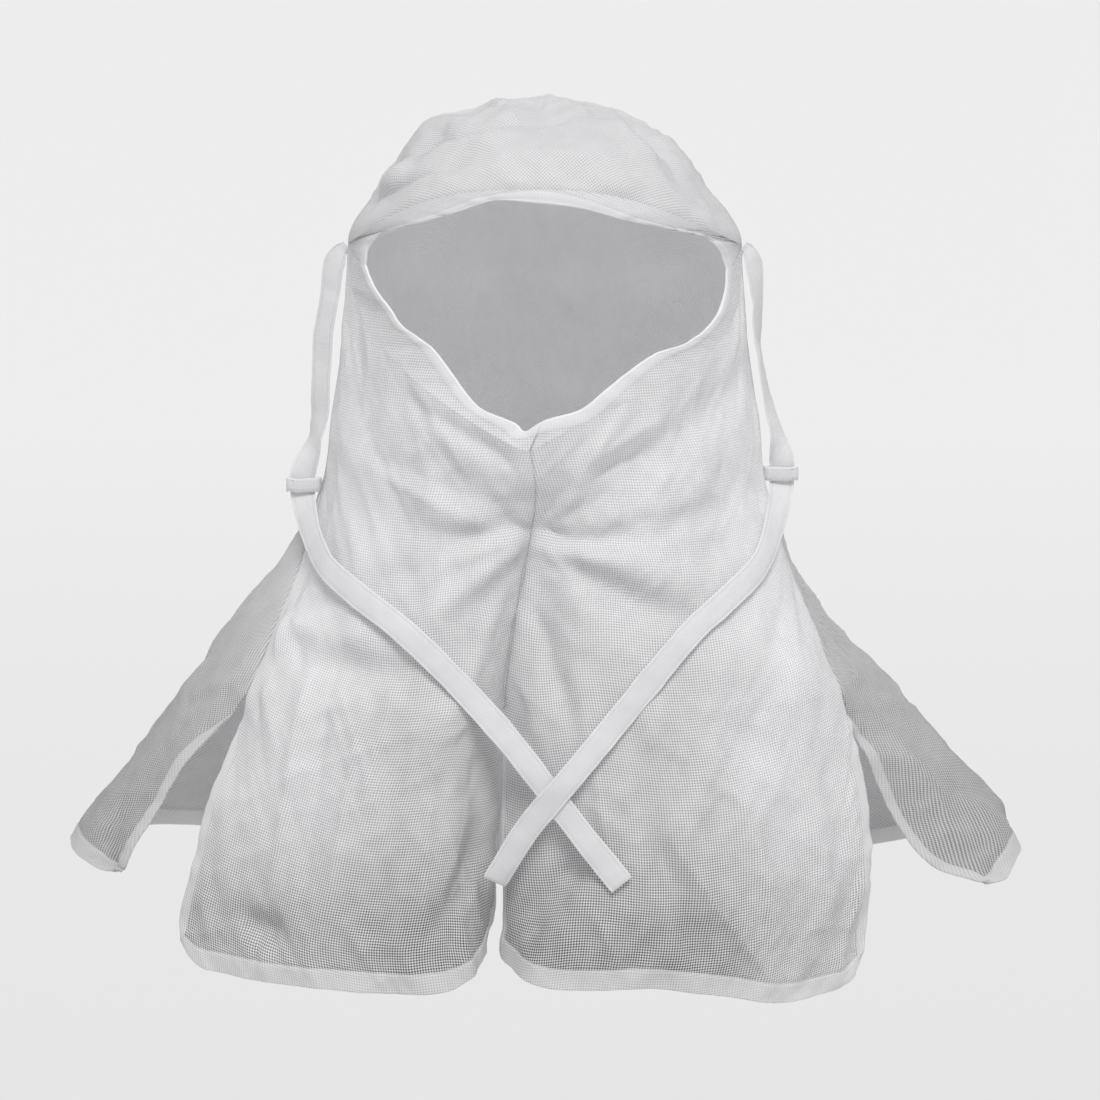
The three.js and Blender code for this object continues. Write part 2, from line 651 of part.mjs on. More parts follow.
// The folded hem round the face opening, between the panels' edges and the opening's own edge
function faceHem() {
  const sheet = new Sheet();
  const share = (angle) => Math.abs(angle) / (Math.PI / 2);
  const lowerDrop = (angle) => -frontPoint(angle > 0 ? 'left' : 'right', share(angle), 0).z;
  const slope = (chinDrop - templeDrop) / ((headHalfWidth * Math.PI) / 2);
  const slantWidth = faceHemWidth * Math.hypot(1, slope);
  const openHeight = (angle) => lowerDrop(angle) - slantWidth - browDrop(angle) - faceHemWidth;
  const corner = { left: Math.PI / 2, right: Math.PI / 2 };
  for (const sideName of ['left', 'right']) {
    while (openHeight(SIDES[sideName] * corner[sideName]) < 0) corner[sideName] -= slopeStep;
  }
  const outer = [];
  const inner = [];
  for (let step = 0; step < crownCells.around; step += 1) {
    const angle = mix(Math.PI / 2, -Math.PI / 2, step / crownCells.around);
    const near = (angle * (angle > 0 ? corner.left : corner.right)) / (Math.PI / 2);
    outer.push(sheet.add(facePoint(angle, browDrop(angle)), faceNormal(angle), hemWall / 2));
    inner.push(sheet.add(facePoint(near, browDrop(near) + faceHemWidth), faceNormal(near), hemWall / 2));
  }
  for (const sideName of ['right', 'left']) {
    const shares = panelColumns(sideName, 0);
    const inOrder = sideName === 'right' ? shares.slice(1).reverse() : shares.slice(0, -1);
    for (const across of inOrder) {
      const angle = SIDES[sideName] * across * (Math.PI / 2);
      const near = SIDES[sideName] * across * corner[sideName];
      const edge = frontPoint(sideName, share(near), 0);
      edge.setZ(edge.z + slantWidth);
      outer.push(sheet.add(frontPoint(sideName, across, 0), faceNormal(angle), hemWall / 2));
      inner.push(sheet.add(edge, faceNormal(near), hemWall / 2));
    }
  }
  openSeam(sheet.points, outer, inner, seamGap / 2);
  for (let step = 0; step < outer.length; step += 1) {
    const next = (step + 1) % outer.length;
    sheet.quad(outer[step], outer[next], inner[next], inner[step]);
  }
  return sheet.geometry(hemWall / 2);
}

const slotLength = tieWidth + loopPlay;

// Middle of the slot of a loop, beside the widest cloth that its band passes at the side seam
function loopCentre(sideName) {
  const edge = edgeAt(FLAP_EDGE[sideName], loopRow);
  const rowHeight = edgeAt(FLAP_EDGE[sideName], loopRow + 1).drop - edge.drop;
  const below = loopRow + loopBand / 2 / rowHeight;
  const widest = Math.max(...[0, loopReach].map((across) => Math.abs(backPoint(sideName, across, below).x)));
  const out = clothWall / 2 + 2 * seamGap + loopWall + slotLength / 2;
  return new THREE.Vector3(SIDES[sideName] * (widest + out), -edge.forward, -edge.drop);
}

// A flattened ring of tape that stands out from the side seam, with the tie through it
function loopGeometry(sideName) {
  const length = slotLength + 2 * loopWall;
  const depth = loopSlot + 2 * loopWall;
  const outline = new THREE.Shape();
  const round = depth / 2;
  outline.moveTo(-length / 2, -depth / 2);
  outline.lineTo(length / 2 - round, -depth / 2);
  outline.absarc(length / 2 - round, 0, round, -Math.PI / 2, Math.PI / 2, false);
  outline.lineTo(-length / 2, depth / 2);
  outline.closePath();
  const slot = new THREE.Path();
  slot.moveTo(-slotLength / 2, -loopSlot / 2);
  slot.lineTo(slotLength / 2 - loopSlot / 2, -loopSlot / 2);
  slot.absarc(slotLength / 2 - loopSlot / 2, 0, loopSlot / 2, -Math.PI / 2, Math.PI / 2, false);
  slot.lineTo(-slotLength / 2, loopSlot / 2);
  slot.closePath();
  outline.holes.push(slot);
  const ring = new THREE.ExtrudeGeometry(outline, { depth: loopBand, bevelEnabled: false, curveSegments: 5 });
  ring.translate(0, 0, -loopBand / 2);
  if (sideName === 'right') ring.rotateZ(Math.PI);
  return ring;
}

// How far the centre seam lies to the wearer's right of the middle
function frontDrift(drop) {
  const row = clamp01((drop - chinDrop) / (hoodHeight - chinDrop)) * lastRow;
  return headHalfWidth * read(FRONT, 'drift', row);
}

// Row and place across at which a front panel passes a point of the front view
function panelAt(x, drop) {
  const sideName = x > -frontDrift(drop) ? 'left' : 'right';
  let across = 0.5;
  let at = clamp01((drop - templeDrop) / (hoodHeight - templeDrop)) * lastRow;
  for (let round = 0; round < searchRounds; round += 1) {
    const here = frontPoint(sideName, across, at);
    const toSide = frontPoint(sideName, across + slopeStep, at).sub(here).divideScalar(slopeStep);
    const toHem = frontPoint(sideName, across, at + slopeStep).sub(here).divideScalar(slopeStep);
    const missX = x - here.x;
    const missZ = -drop - here.z;
    const pace = searchShare / (toSide.x * toHem.z - toSide.z * toHem.x);
    across = within(across + pace * (missX * toHem.z - missZ * toHem.x), 0, 1 - slopeStep);
    at = within(at + pace * (toSide.x * missZ - toSide.z * missX), 0, lastRow - slopeStep);
  }
  return { sideName, across, at };
}

// How far a tie's middle lies in front of the axis at each place of its chest stretch: it is drawn tight over the
// two panels, and over whatever else lies on them
function tightOver(ground, along) {
  const hull = [];
  for (let index = 0; index < ground.length; index += 1) {
    const point = { along: along[index], height: ground[index] };
    while (hull.length > 1) {
      const [before, last] = hull.slice(-2);
      const turn =
        (last.along - before.along) * (point.height - before.height) -
        (last.height - before.height) * (point.along - before.along);
      if (turn < 0) break;
      hull.pop();
    }
    hull.push(point);
  }
  return along.map((place) => {
    const index = Math.max(1, hull.findIndex((point) => point.along >= place));
    const [from, to] = [hull[index - 1], hull[index]];
    return mix(from.height, to.height, (place - from.along) / (to.along - from.along));
  });
}

// Route of a tie: places, and the way that its flat side faces at each. under: how far in front of the axis the
// tie lies that this one crosses over, or 0.
function tieRoute(sideName, under = 0) {
  const side = SIDES[sideName];
  const clear = clothWall / 2 + seamGap + tieWall / 2;
  const places = [];
  const facings = [];
  const forward = new THREE.Vector3(0, -1, 0);
  const bendRadius = tieWidth * TIE_LIE.bend;
  const startDrop = templeDrop + tieWidth / 2 + faceHemWidth / 4;
  const rowHeight = edgeAt(FLAP_EDGE[sideName], 1).drop - templeDrop;
  const startRow = (startDrop + tieWidth / 2 - templeDrop) / rowHeight;
  const startX = edgeAt(FLAP_EDGE[sideName], startRow).x + clothWall / 2 + seamGap;
  places.push(new THREE.Vector3(side * startX, 0, -startDrop));
  facings.push(forward.clone());
  for (const turn of [0, 30, 60, 90].map(radians)) {
    const out = startX + tieWidth * TIE_LIE.lead + bendRadius * Math.sin(turn);
    places.push(new THREE.Vector3(side * out, 0, -startDrop - bendRadius * (1 - Math.cos(turn))));
    facings.push(forward.clone());
  }
  const loop = loopCentre(sideName);
  for (const row of HANG) {
    const at = row.share * loopRow;
    const edge = edgeAt(FLAP_EDGE[sideName], at);
    const turn = radians(HANG_TURN[sideName]) * Math.sin(Math.PI * row.share);
    const out = clothWall / 2 + 2 * seamGap + tieWidth * (Math.cos(turn) / 2 + row.out);
    places.push(new THREE.Vector3(side * (edge.x + out), -faceDepth * row.forward, -edge.drop));
    facings.push(new THREE.Vector3(side * Math.sin(turn), -Math.cos(turn), 0));
  }
  for (const height of [TIE_LIE.upright, 0, -TIE_LIE.upright]) {
    places.push(loop.clone().setZ(loop.z + height * loopBand));
    facings.push(forward.clone());
  }
  const run = CHEST_RUN[sideName].map((row) => ({
    x: side * row.across * headHalfWidth,
    drop: mix(templeDrop, hoodHeight, row.drop),
  }));
  const grounds = run.map(({ x, drop }) => {
    const { sideName: panel, across, at } = panelAt(x, drop);
    const surface = (share, row) => frontPoint(panel, share, row);
    const normal = normalOf(surface, across, at);
    return { point: surface(across, at), normal };
  });
  const along = grounds.map((_, index) => index);
  const heights = grounds.map(({ point }) => -point.y);
  const end = heights.length - 1;
  heights[end] = Math.max(...heights.slice(end - 2));
  const [besideLoop, overChest] = TIE_REST;
  const overTie = under + 2 * (tieWall + seamGap) + seamGap - clear * overChest.slack;
  if (under > 0) heights[CROSSING] = Math.max(heights[CROSSING], overTie);
  const depths = tightOver(heights, along);
  run.forEach(({ x, drop }, index) => {
    const rest = index < besideLoop.points ? besideLoop : overChest;
    const facing = grounds[index].normal.clone().lerp(forward, rest.level).normalize();
    const place = new THREE.Vector3(x, -depths[index], -drop);
    places.push(place.addScaledVector(facing, clear * rest.slack));
    facings.push(facing);
  });
  const crossing = places[places.length - run.length + CROSSING];
  return { places, facings, depth: -crossing.y };
}

// A flat strap along a route
function strapGeometry({ places, facings }) {
  const curve = new THREE.CatmullRomCurve3(places, false, 'centripetal');
  const turning = new THREE.CatmullRomCurve3(facings, false, 'centripetal');
  const points = [];
  const indices = [];
  for (let step = 0; step <= tieSteps; step += 1) {
    const share = step / tieSteps;
    const middle = curve.getPoint(share);
    const along = curve.getTangent(share);
    const across = along.clone().cross(turning.getPoint(share)).normalize();
    const facing = across.clone().cross(along).normalize();
    for (const [wide, thick] of [[-1, -1], [1, -1], [1, 1], [-1, 1]]) {
      const corner = middle.clone().addScaledVector(across, (wide * tieWidth) / 2);
      points.push(corner.addScaledVector(facing, (thick * tieWall) / 2));
    }
  }
  for (let step = 0; step < tieSteps; step += 1) {
    for (let corner = 0; corner < 4; corner += 1) {
      const [a, b] = [step * 4 + corner, step * 4 + ((corner + 1) % 4)];
      indices.push(a, b + 4, b, a, a + 4, b + 4);
    }
  }
  const end = tieSteps * 4;
  indices.push(0, 1, 2, 0, 2, 3, end, end + 2, end + 1, end, end + 3, end + 2);
  const shape = new THREE.BufferGeometry().setFromPoints(points);
  shape.setIndex(indices);
  shape.computeVertexNormals();
  return shape;
}

function piece(name, geometry, material) {
  const mesh = new THREE.Mesh(geometry, material);
  mesh.name = name;
  return mesh;
}

const hood = new THREE.Group();
hood.add(piece('crown_back', crownBack(), cloth));
hood.add(piece('face_hem', faceHem(), hemCloth));
for (const sideName of ['left', 'right']) {
  hood.add(piece(`front_${sideName}`, frontPanel(sideName), cloth));
  const loop = piece(`loop_${sideName}`, loopGeometry(sideName), tieCloth);
  loop.position.copy(loopCentre(sideName));
  hood.add(loop);
}
const rightTie = tieRoute('right');
const leftTie = tieRoute('left', rightTie.depth);
hood.add(piece('tie_right', strapGeometry(rightTie), tieCloth));
hood.add(piece('tie_left', strapGeometry(leftTie), tieCloth));

export default hood;
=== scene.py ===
"""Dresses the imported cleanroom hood: its cloth sheets with their weave, folds and hems, its ties and loops,
the stage and the camera."""

import math

import bpy
import numpy as np
from bpy.props import FloatProperty, FloatVectorProperty, PointerProperty
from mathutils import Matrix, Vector


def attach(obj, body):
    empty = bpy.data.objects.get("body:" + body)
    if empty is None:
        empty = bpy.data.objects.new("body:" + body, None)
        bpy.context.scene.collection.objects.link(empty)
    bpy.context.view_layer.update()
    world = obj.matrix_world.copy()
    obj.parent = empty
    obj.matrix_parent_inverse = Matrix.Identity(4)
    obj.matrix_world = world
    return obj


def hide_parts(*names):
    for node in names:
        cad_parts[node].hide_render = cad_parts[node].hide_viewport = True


bl_info = {
    "name": "Cleanroom hood",
    "version": (1, 0, 0),
    "blender": (4, 5, 0),
    "location": "3D View > Sidebar > Hood",
    "description": "Builds a cleanroom hood of embossed cloth around its packed frame",
    "category": "Object",
}

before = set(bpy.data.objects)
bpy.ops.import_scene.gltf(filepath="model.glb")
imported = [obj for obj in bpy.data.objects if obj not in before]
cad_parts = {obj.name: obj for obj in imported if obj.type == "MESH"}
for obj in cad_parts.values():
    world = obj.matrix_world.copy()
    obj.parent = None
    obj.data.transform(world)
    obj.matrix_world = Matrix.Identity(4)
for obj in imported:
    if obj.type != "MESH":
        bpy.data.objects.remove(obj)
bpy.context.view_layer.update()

# Driving sizes of the form, in millimetres
HOOD_HEIGHT = 479.0
HEAD_HALF_WIDTH = 110.0
CAPE_HALF_WIDTH = 276.0
FACE_DEPTH = 102.0
CHEST_DEPTH = 139.0
BACK_DEPTH = 125.0
FOREHEAD_DROP = 45.0
TEMPLE_DROP = 82.0
CHIN_DROP = 186.0
CROWN_SETBACK = 5.0
SLIT_SPREAD = 2.2
HEM_WIDTH = 12.0
TIE_WIDTH = 14.0
LOOP_BAND = 8.0
LOOP_SLOT = 4.0
LOOP_PLAY = 2.4
CAMERA_LIFT = math.radians(10)

# Roundness of the crown and its creases, squareness of the panels, fall of the back, and form of the folds
CROWN_ROUND = 1.04
CROWN_FRONT_ROUND = 0.16
CREASE_SWELL = 1.2
CORNER_POWER = 9
FRONT_SQUARE = (2.0, 2.3)
BACK_FALL = (2.0, 1.2)
FOLD_PEAK = 0.7
FOLD_SPREAD = (0.6, 1.5)
FOLD_FADE = 6

# The side seam from the temple to the top of the side slit, then the free edges below it
SEAM = {
    "flare": [0.0, 0.025, 0.067, 0.09, 0.16, 0.25, 0.33],
    "forward": [0.0, 0.0, 0.0, 0.0, 0.115, 0.302, 0.446],
    "drop": [0.0, 0.139, 0.255, 0.346, 0.444, 0.535, 0.614],
}
SLIT_ROW = 6
FLAP_EDGE = {
    "right": {
        "flare": [0.443, 0.524, 0.56, 0.535],
        "forward": [0.532, 0.59, 0.61, 0.655],
        "drop": [0.732, 0.852, 0.93, 0.99],
    },
    "left": {
        "flare": [0.4, 0.428, 0.41, 0.372],
        "forward": [0.532, 0.59, 0.61, 0.655],
        "drop": [0.732, 0.856, 0.94, 1.004],
    },
}
WING_EDGE = {
    "right": {
        "flare": [0.548, 0.73, 0.79, 0.828],
        "forward": [0.381, 0.345, 0.302, 0.273],
        "drop": [0.728, 0.852, 0.888, 0.897],
    },
    "left": {
        "flare": [0.445, 0.615, 0.8, 0.905],
        "forward": [0.381, 0.345, 0.302, 0.273],
        "drop": [0.728, 0.862, 0.902, 0.914],
    },
}

# Rows of a front panel, from the face opening to the hem
FRONT = {
    "drop": [0.0, 0.051, 0.11, 0.168, 0.247, 0.349, 0.452, 0.575, 0.705, 0.815, 0.92],
    "belly": [0.0, 0.02, -0.04, -0.08, 0.12, 0.38, 0.6, 0.78, 0.92, 0.97, 1.0],
    "valley": [0.0, 0.03, 0.08, 0.13, 0.19, 0.24, 0.27, 0.3, 0.33, 0.36, 0.4],
    "pinch": [4, 5, 6, 7, 6.5, 6, 5.6, 5.6, 6.5, 9.5, 14],
    "drift": [0.07, 0.05, 0.05, 0.075, 0.11, 0.16, 0.2, 0.22, 0.22, 0.227, 0.24],
}
LAST_ROW = 10
SLIT_CORNER = {"left": {"lift": -0.04, "back": -0.1}, "right": {"lift": 0.014, "back": 0.06}}
HEM_LINE = {"left": [0, -4, -5, 1, 9, 5], "right": [0, 2, 3, 3, 2, 0]}
SHOULDER_FULLNESS = {"left": -0.035, "right": 0.08}
SHOULDER_ROW = 5.2
SHOULDER_SPAN = 1.5

# Rows of the crown and back piece below the temples
BACK = {
    "ridge": [0.0, 0.025, 0.067, 0.092, 0.19, 0.32, 0.455, 0.63, 0.815, 0.93, 1.0],
    "behind": [0.0, 0.0, 0.0, 0.01, 0.064, 0.08, 0.096, 0.104, 0.112, 0.136, 0.16],
    "ridge_drop": [0.0, 0.139, 0.255, 0.346, 0.452, 0.53, 0.598, 0.682, 0.773, 0.828, 0.882],
    "back_drop": [0.045, 0.172, 0.285, 0.386, 0.487, 0.588, 0.677, 0.765, 0.854, 0.917, 0.985],
    "back": [0.9, 0.91, 0.86, 0.79, 0.83, 0.9, 0.95, 0.97, 0.99, 1.0, 1.0],
    "square": [2, 2.05, 2.1, 2.15, 2.3, 2.5, 2.7, 2.9, 3.0, 3.1, 3.2],
}
BACK_SAG = {"left": 0.122, "right": 0.012}

# The face opening's line on each side
FACE = {
    "left": {"brow": 2.2, "cheek": 0.85, "corner": 0.32},
    "right": {"brow": 3.2, "cheek": 1.2, "corner": 0.08},
}

# Folds out of the gathers on the centre seam: degrees from the side downward, reach, height, width
GATHER_ROW = 3
RAYS = {
    "left": [
        (-34, 0.7, -0.018, 0.05), (-12, 1.0, 0.02, 0.06), (3, 1.05, -0.034, 0.045),
        (16, 1.0, 0.03, 0.055), (30, 0.95, -0.03, 0.05), (48, 0.9, 0.028, 0.07),
        (70, 1.0, -0.026, 0.06),
    ],
    "right": [
        (-38, 0.75, -0.022, 0.05), (-16, 0.95, 0.018, 0.06), (-4, 0.8, -0.016, 0.04),
        (11, 0.9, 0.022, 0.05), (23, 1.0, -0.036, 0.045), (36, 0.95, 0.034, 0.06),
        (58, 0.9, -0.02, 0.07),
    ],
}

# Long soft creases over the crown: turn and spread in degrees, place down, height, width
CROWN_CREASES = [
    (-88, 30, 0.48, 0.036, 0.12), (-58, 15, 0.72, 0.022, 0.1), (-20, 26, 0.62, -0.02, 0.09),
    (18, 24, 0.5, -0.024, 0.08), (52, 12, 0.66, -0.022, 0.1), (80, 10, 0.5, 0.02, 0.12),
]

# Smaller creases of each front panel, in the front view, in millimetres: from a place to a place, each as far
# to the panel's own side and down from the crown's top; height, and half width
FRONT_CREASES = {
    "left": [
        (-4, 230, 12, 235, -2.4, 3), (8, 234, 92, 223, -2.0, 8), (4, 245, 80, 238, 1.6, 6),
        (2, 248, 26, 262, -1.2, 7), (20, 258, 75, 278, -2.4, 7), (-10, 268, 12, 322, -1.8, 6),
        (28, 202, 52, 191, -1.4, 4), (50, 196, 104, 158, -2.6, 12), (30, 188, 60, 172, 1.2, 4),
        (9, 398, 11, 414, -3.0, 9), (29, 403, -20, 447, -3.4, 10), (29, 438, 41, 464, 1.6, 3),
        (58, 390, 84, 458, -2.2, 8), (76, 406, 118, 468, 2.4, 4.5), (104, 422, 118, 468, 1.3, 4),
        (144, 390, 156, 426, 1.5, 5), (76, 312, 118, 352, -2.2, 14), (92, 296, 150, 316, 2.0, 12),
        (60, 330, 40, 372, 1.6, 8), (20, 320, 34, 400, 1.6, 4.5), (48, 330, 66, 420, -1.2, 6),
        (96, 350, 128, 430, 1.5, 4), (130, 330, 146, 410, -1.4, 7), (154, 350, 166, 430, -1.6, 7),
    ],
    "right": [
        (18, 190, 70, 163, -1.8, 6), (14, 226, 48, 236, -1.8, 7), (40, 235, 92, 262, -2.2, 8),
        (46, 222, 92, 202, 1.1, 2.4), (18, 240, 86, 268, 1.8, 7), (40, 212, 84, 196, -1.0, 5),
        (12, 262, 30, 300, -1.8, 6), (22, 280, 60, 340, 1.4, 7), (160, 300, 150, 345, 2.0, 5),
        (132, 286, 150, 300, 2.2, 6), (84, 292, 136, 290, 2.2, 9), (74, 306, 128, 304, -2.2, 9),
        (40, 345, 35, 408, -2.6, 9), (35, 405, 55, 442, -3.2, 9), (131, 316, 150, 420, 1.7, 4),
        (118, 320, 132, 436, -1.3, 5), (100, 330, 118, 430, 1.5, 3), (84, 316, 98, 372, 1.5, 4),
        (75, 345, 92, 450, -1.3, 5), (60, 350, 66, 440, 1.4, 3), (166, 446, 148, 450, -4.6, 9),
        (158, 452, 159, 468, -1.8, 2.5), (110, 440, 96, 462, 1.2, 5),
    ],
}

# Folds down the back and over the shoulders, in the same way, across to the wearer's left
BACK_CREASES = [
    (-22, 104, 18, 176, -3.6, 9), (-10, 110, 44, 160, 1.6, 9), (-60, 330, -70, 470, 3.0, 14),
    (20, 320, 24, 470, -3.0, 16), (90, 340, 104, 470, 3.0, 15), (-120, 360, -140, 460, -2.6, 14),
    (150, 320, 190, 400, -2.4, 12), (-150, 330, -210, 400, -2.2, 12), (196, 356, 240, 424, 1.4, 6),
    (-196, 356, -240, 424, 1.4, 6),
]

# Folds over the front of the crown, in the same way, down as the camera sees them
CROWN_FOLDS = [
    (-84, 34, -62, 26, -2.2, 5), (-66, 27, -28, 24, -1.8, 4), (-34, 24, 6, 20, -1.5, 4),
    (0, 20, 36, 10, -1.4, 3.5), (-60, 34, -20, 33, 1.2, 6), (34, 13, 54, 17, -1.2, 4),
    (50, 14, 68, 32, -1.9, 4), (66, 30, 79, 50, -1.9, 5), (40, 22, 60, 42, 1.4, 6),
    (-73, 18, -60, 5, 2.0, 7), (-52, 8, -38, 3, -2.0, 5), (-27, 4, -13, 22, 1.6, 5),
    (-36, 2, -24, 12, -1.4, 4), (-98, 62, -70, 51, -1.8, 4), (-70, 51, -44, 45, -1.4, 4),
    (74, 54, 92, 62, -1.2, 4), (-6, 42, 40, 46, 0.8, 5), (-92, 56, -80, 40, 1.2, 6),
]

# Soft dents of the cloth: how far apart, and how high, in millimetres
DENTS = [(60.0, 1.2), (30.0, 0.7), (14.0, 0.34), (6.5, 0.12)]

# Sharper creases all over the cloth: how far apart, how high, and the degrees that they lean
CRUMPLES = [(52, 2.6, 14), (47, 2.0, -26), (25, 1.2, 38), (21, 0.9, -52), (11, 0.35, 5)]

# Grid lines from a hem's edge inward, in millimetres, and the cells between the hems
HEM_LINES = [0, 0.35, 0.9, 1.8, 3.5, 6, 8.5, 10, 10.8, 11.4, 12.1, 13.2, 15]
PANEL_CELLS = (100, 70, 130)
BACK_CELLS = (92, 42, 76)
CROWN_LEVELS = 62
BROW_CELLS = 76
FACE_STEPS = 260
FACE_HEM_LINES = [0, 0.4, 1.0, 1.8, 2.8, 4.2, 5.6, 6.6, 7.6, 9, 11, 14]
PROBES = 60

# Stitches of a hem, in millimetres, and the share of a stitch's length that its thread takes up
STITCH_LINE = 11.2
STITCH_WIDTH = 0.35
STITCH_LENGTH = 2.6
STITCH_SHARE = 0.72

# How much narrower the hems at the slits are than the lower hems, and over how many rows they start
SLIT_HEM = 3.0
SIDE_HEM = 1.7
HEM_START = 0.9

# Rounding of a hem's edge, how far a hem stands out, the distance from which there is no hem, and rounding of
# the flaps' corners, in millimetres; and how far back the face hem lies at the cheeks, as a share
HEM_ROLL = 1.8
HEM_PROUD = 0.2
FAR = 100
CORNER_ROUND = 15.0
CHEEK_SETBACK = 0.035

# How far from a side, a seam, a slit and the face opening the folds reach their full height, in millimetres
SIDE_FADE = 16
SEAM_FADE = 12
SLIT_FADE = 26
FACE_FADE = 14

# Half width of the dent along a seam and reach of its points, in millimetres, rows over which a slit starts,
# and how many times the directions of the folds are evened out
SEAM_WIDTH = 1.2
ON_SEAM = 0.1
SLIT_START = 0.4
EVENINGS = 14

# Pleats round the gathers: where they meet, how far they reach and over how far they start, in millimetres,
# and the degrees between them
PLEAT_CENTRE = 8
PLEAT_REACH = 30
PLEAT_FADE = 14
PLEAT_TURN = 14.0

# Noise: rows and columns of its table, its first place, and the seeds of the sheets and the ties
NOISE_TABLE = (61, 67)
NOISE_START = 20
SEEDS = {"left": 11, "right": 23, "back": 57, "back_hem": 71, "crown": 83, "face_hem": 91}
TIE_SEEDS = {"left": 131, "right": 151}

# Half width up to which a crease is sharp, in millimetres
SHARP_CREASE = 5

# The crown's outline as the camera sees it, in millimetres: to the wearer's left, and down from its top
CROWN_OUTLINE = [
    (-107, 79), (-104, 71), (-98.6, 57), (-89, 39.5), (-80.6, 27), (-71, 18), (-67, 12), (-59.5, 8),
    (-46, 6), (-30.2, 1), (-17.4, 1.4), (-1.7, -1), (12.9, -1), (29.5, 3), (44.5, 6.6), (58.5, 14.4),
    (76, 28), (86, 40), (93.5, 53), (102, 71), (106.5, 79),
]
OUTLINE_CENTRE = 66.0

# How much stronger the crown's dents, crumples and folds are than elsewhere
CROWN_DENTS = 0.9
CROWN_CRUMPLES = 1.2
CROWN_FOLDING = 1.6

# The face opening's own edge in the front view, in millimetres: to the wearer's left, and down from the top
BROW_EDGE = [
    (102, 92), (98, 81), (90, 73), (67, 66), (46, 61), (22, 55), (-7, 52), (-31, 51), (-51, 57),
    (-64, 61), (-87, 69), (-95, 74), (-99, 80), (-101, 90),
]
CHEEK_EDGE = [
    (-101, 90), (-98, 98), (-89, 111), (-82, 120), (-66, 131), (-54, 145), (-48, 153), (-38, 163),
    (-17, 171), (-12, 175), (0, 169), (22, 163), (36, 153), (55, 140), (64, 135), (82, 130), (90, 125),
    (95, 120), (101, 106), (102, 92),
]

# Hanging part of each tie, in millimetres and degrees: outward, down, and how far its flat side faces outward
HANG_RUN = {
    "right": [
        (115.6, 87.5, 20), (118.8, 95, 30), (120.2, 106, 36), (121.8, 117, 38), (124.9, 133, 38),
        (126.2, 153, 36), (127.2, 175, 42), (130.6, 193, 56),
    ],
    "left": [
        (114.8, 87.5, 30), (117.2, 94, 46), (118.6, 104, 56), (119.6, 116, 64), (119.9, 129, 68),
        (120.7, 143, 80), (123.2, 156, 76), (126.0, 171, 70), (130.6, 189, 58),
    ],
}

# Part of each tie over the chest, as shares of the head's half width and of the height below the temples
CHEST_RUN = {
    "right": {
        "across": [1.08, 0.91, 0.71, 0.51, 0.22, 0.0, -0.19, -0.38],
        "drop": [0.437, 0.47, 0.503, 0.553, 0.64, 0.712, 0.78, 0.845],
    },
    "left": {
        "across": [1.06, 0.87, 0.74, 0.58, 0.33, 0.11, -0.08, -0.26],
        "drop": [0.435, 0.478, 0.507, 0.552, 0.634, 0.706, 0.773, 0.85],
    },
}

# Place in that run where the ties cross and how far one lies over the other there; how many of its places are
# at the neck, and how far off the cloth a tie lies there and on the chest, in millimetres
CROSSING = 5
CROSSING_RISE = 4.1
NECK_PLACES = 3
NECK_CLEAR = 5.1
CHEST_CLEAR = 3.91

# Grid of a tie: steps along it, its wall, and lines across it
TIE_STEPS = 420
TIE_WALL = 1.0
TIE_LINES = [-7, -6.85, -6.4, -5.7, -5.2, -4.7, -2.6, 0, 2.6, 4.7, 5.2, 5.7, 6.4, 6.85, 7]

# The loops: row on the side seam, and how much higher each is; then gap from the cloth, way from the slot to
# the middle of the band, wall, way round, lines across the band, and outline of its tab, in millimetres
LOOP_ROW = 3
LOOP_LIFT = {"left": 6.5, "right": 0.0}
LOOP_GAP = 1.2
LOOP_REST = 0.6
LOOP_WALL = 1.1
LOOP_LENGTH = 46
LOOP_LINES = [-4, -3.8, -3.2, -1.6, 0, 1.6, 3.2, 3.8, 4]
LOOP_TAB = [(0.6, 0.8), (1.3, 0.3), (1.6, 0), (1.3, -0.3), (0.6, -0.8)]

SIDES = {"left": 1.0, "right": -1.0}

# Painted shade of the dark inside showing through a tape, from 0 to 1
TAPE_SEE_THROUGH_SHADE = 0.1

# How much lighter or darker the cloth gets: painted shade where the dark inside shows through, painted light
# on its inner faces, random cloudy and fibrous tone, painted shade in the stitch grooves, lighter stitch
# threads, a painted highlight on the face hem's rim, and painted shade along the seams
CROWN_SEE_THROUGH_SHADE = -0.24
PANEL_SEE_THROUGH_SHADE = -0.08
INSIDE_LIGHT = 0.05
CLOUD_SHADE = 0.08
FIBRE_SHADE = 0.05
GROOVE_SHADE = -0.05
THREAD_LIGHT = 0.06
RIM_LIGHT = 0.08
SEAM_SHADE = -0.08

# Floor, light and camera, in metres; the lens in millimetres
FLOOR_SIZE = 140
FLOOR_LEVEL = -1.2
SKY_COLOUR = (0.99, 0.99, 1.0, 1)
SKY_STRENGTH = 0.68
KEY_COLOUR = (1.0, 0.995, 0.99)
KEY_STRENGTH = 2.45
KEY_SPREAD = math.radians(24)
KEY_WAY = (-0.1, 0.72, -0.9)
CAMERA_AIM = (0.00285, 0, -0.2572)
CAMERA_DISTANCE = 2
CAMERA_LENS = 114.83


def mix(start, end, share):
    return start + (end - start) * share


def smooth(value):
    value = np.clip(value, 0, 1)
    return value**2 * (3 - 2 * value)


def bell(distance, width):
    return np.exp(-((distance / width) ** 2))


def length(vectors):
    return np.sqrt((vectors**2).sum(-1))


def unit(vectors):
    return vectors / np.maximum(length(vectors), 1e-9)[..., None]


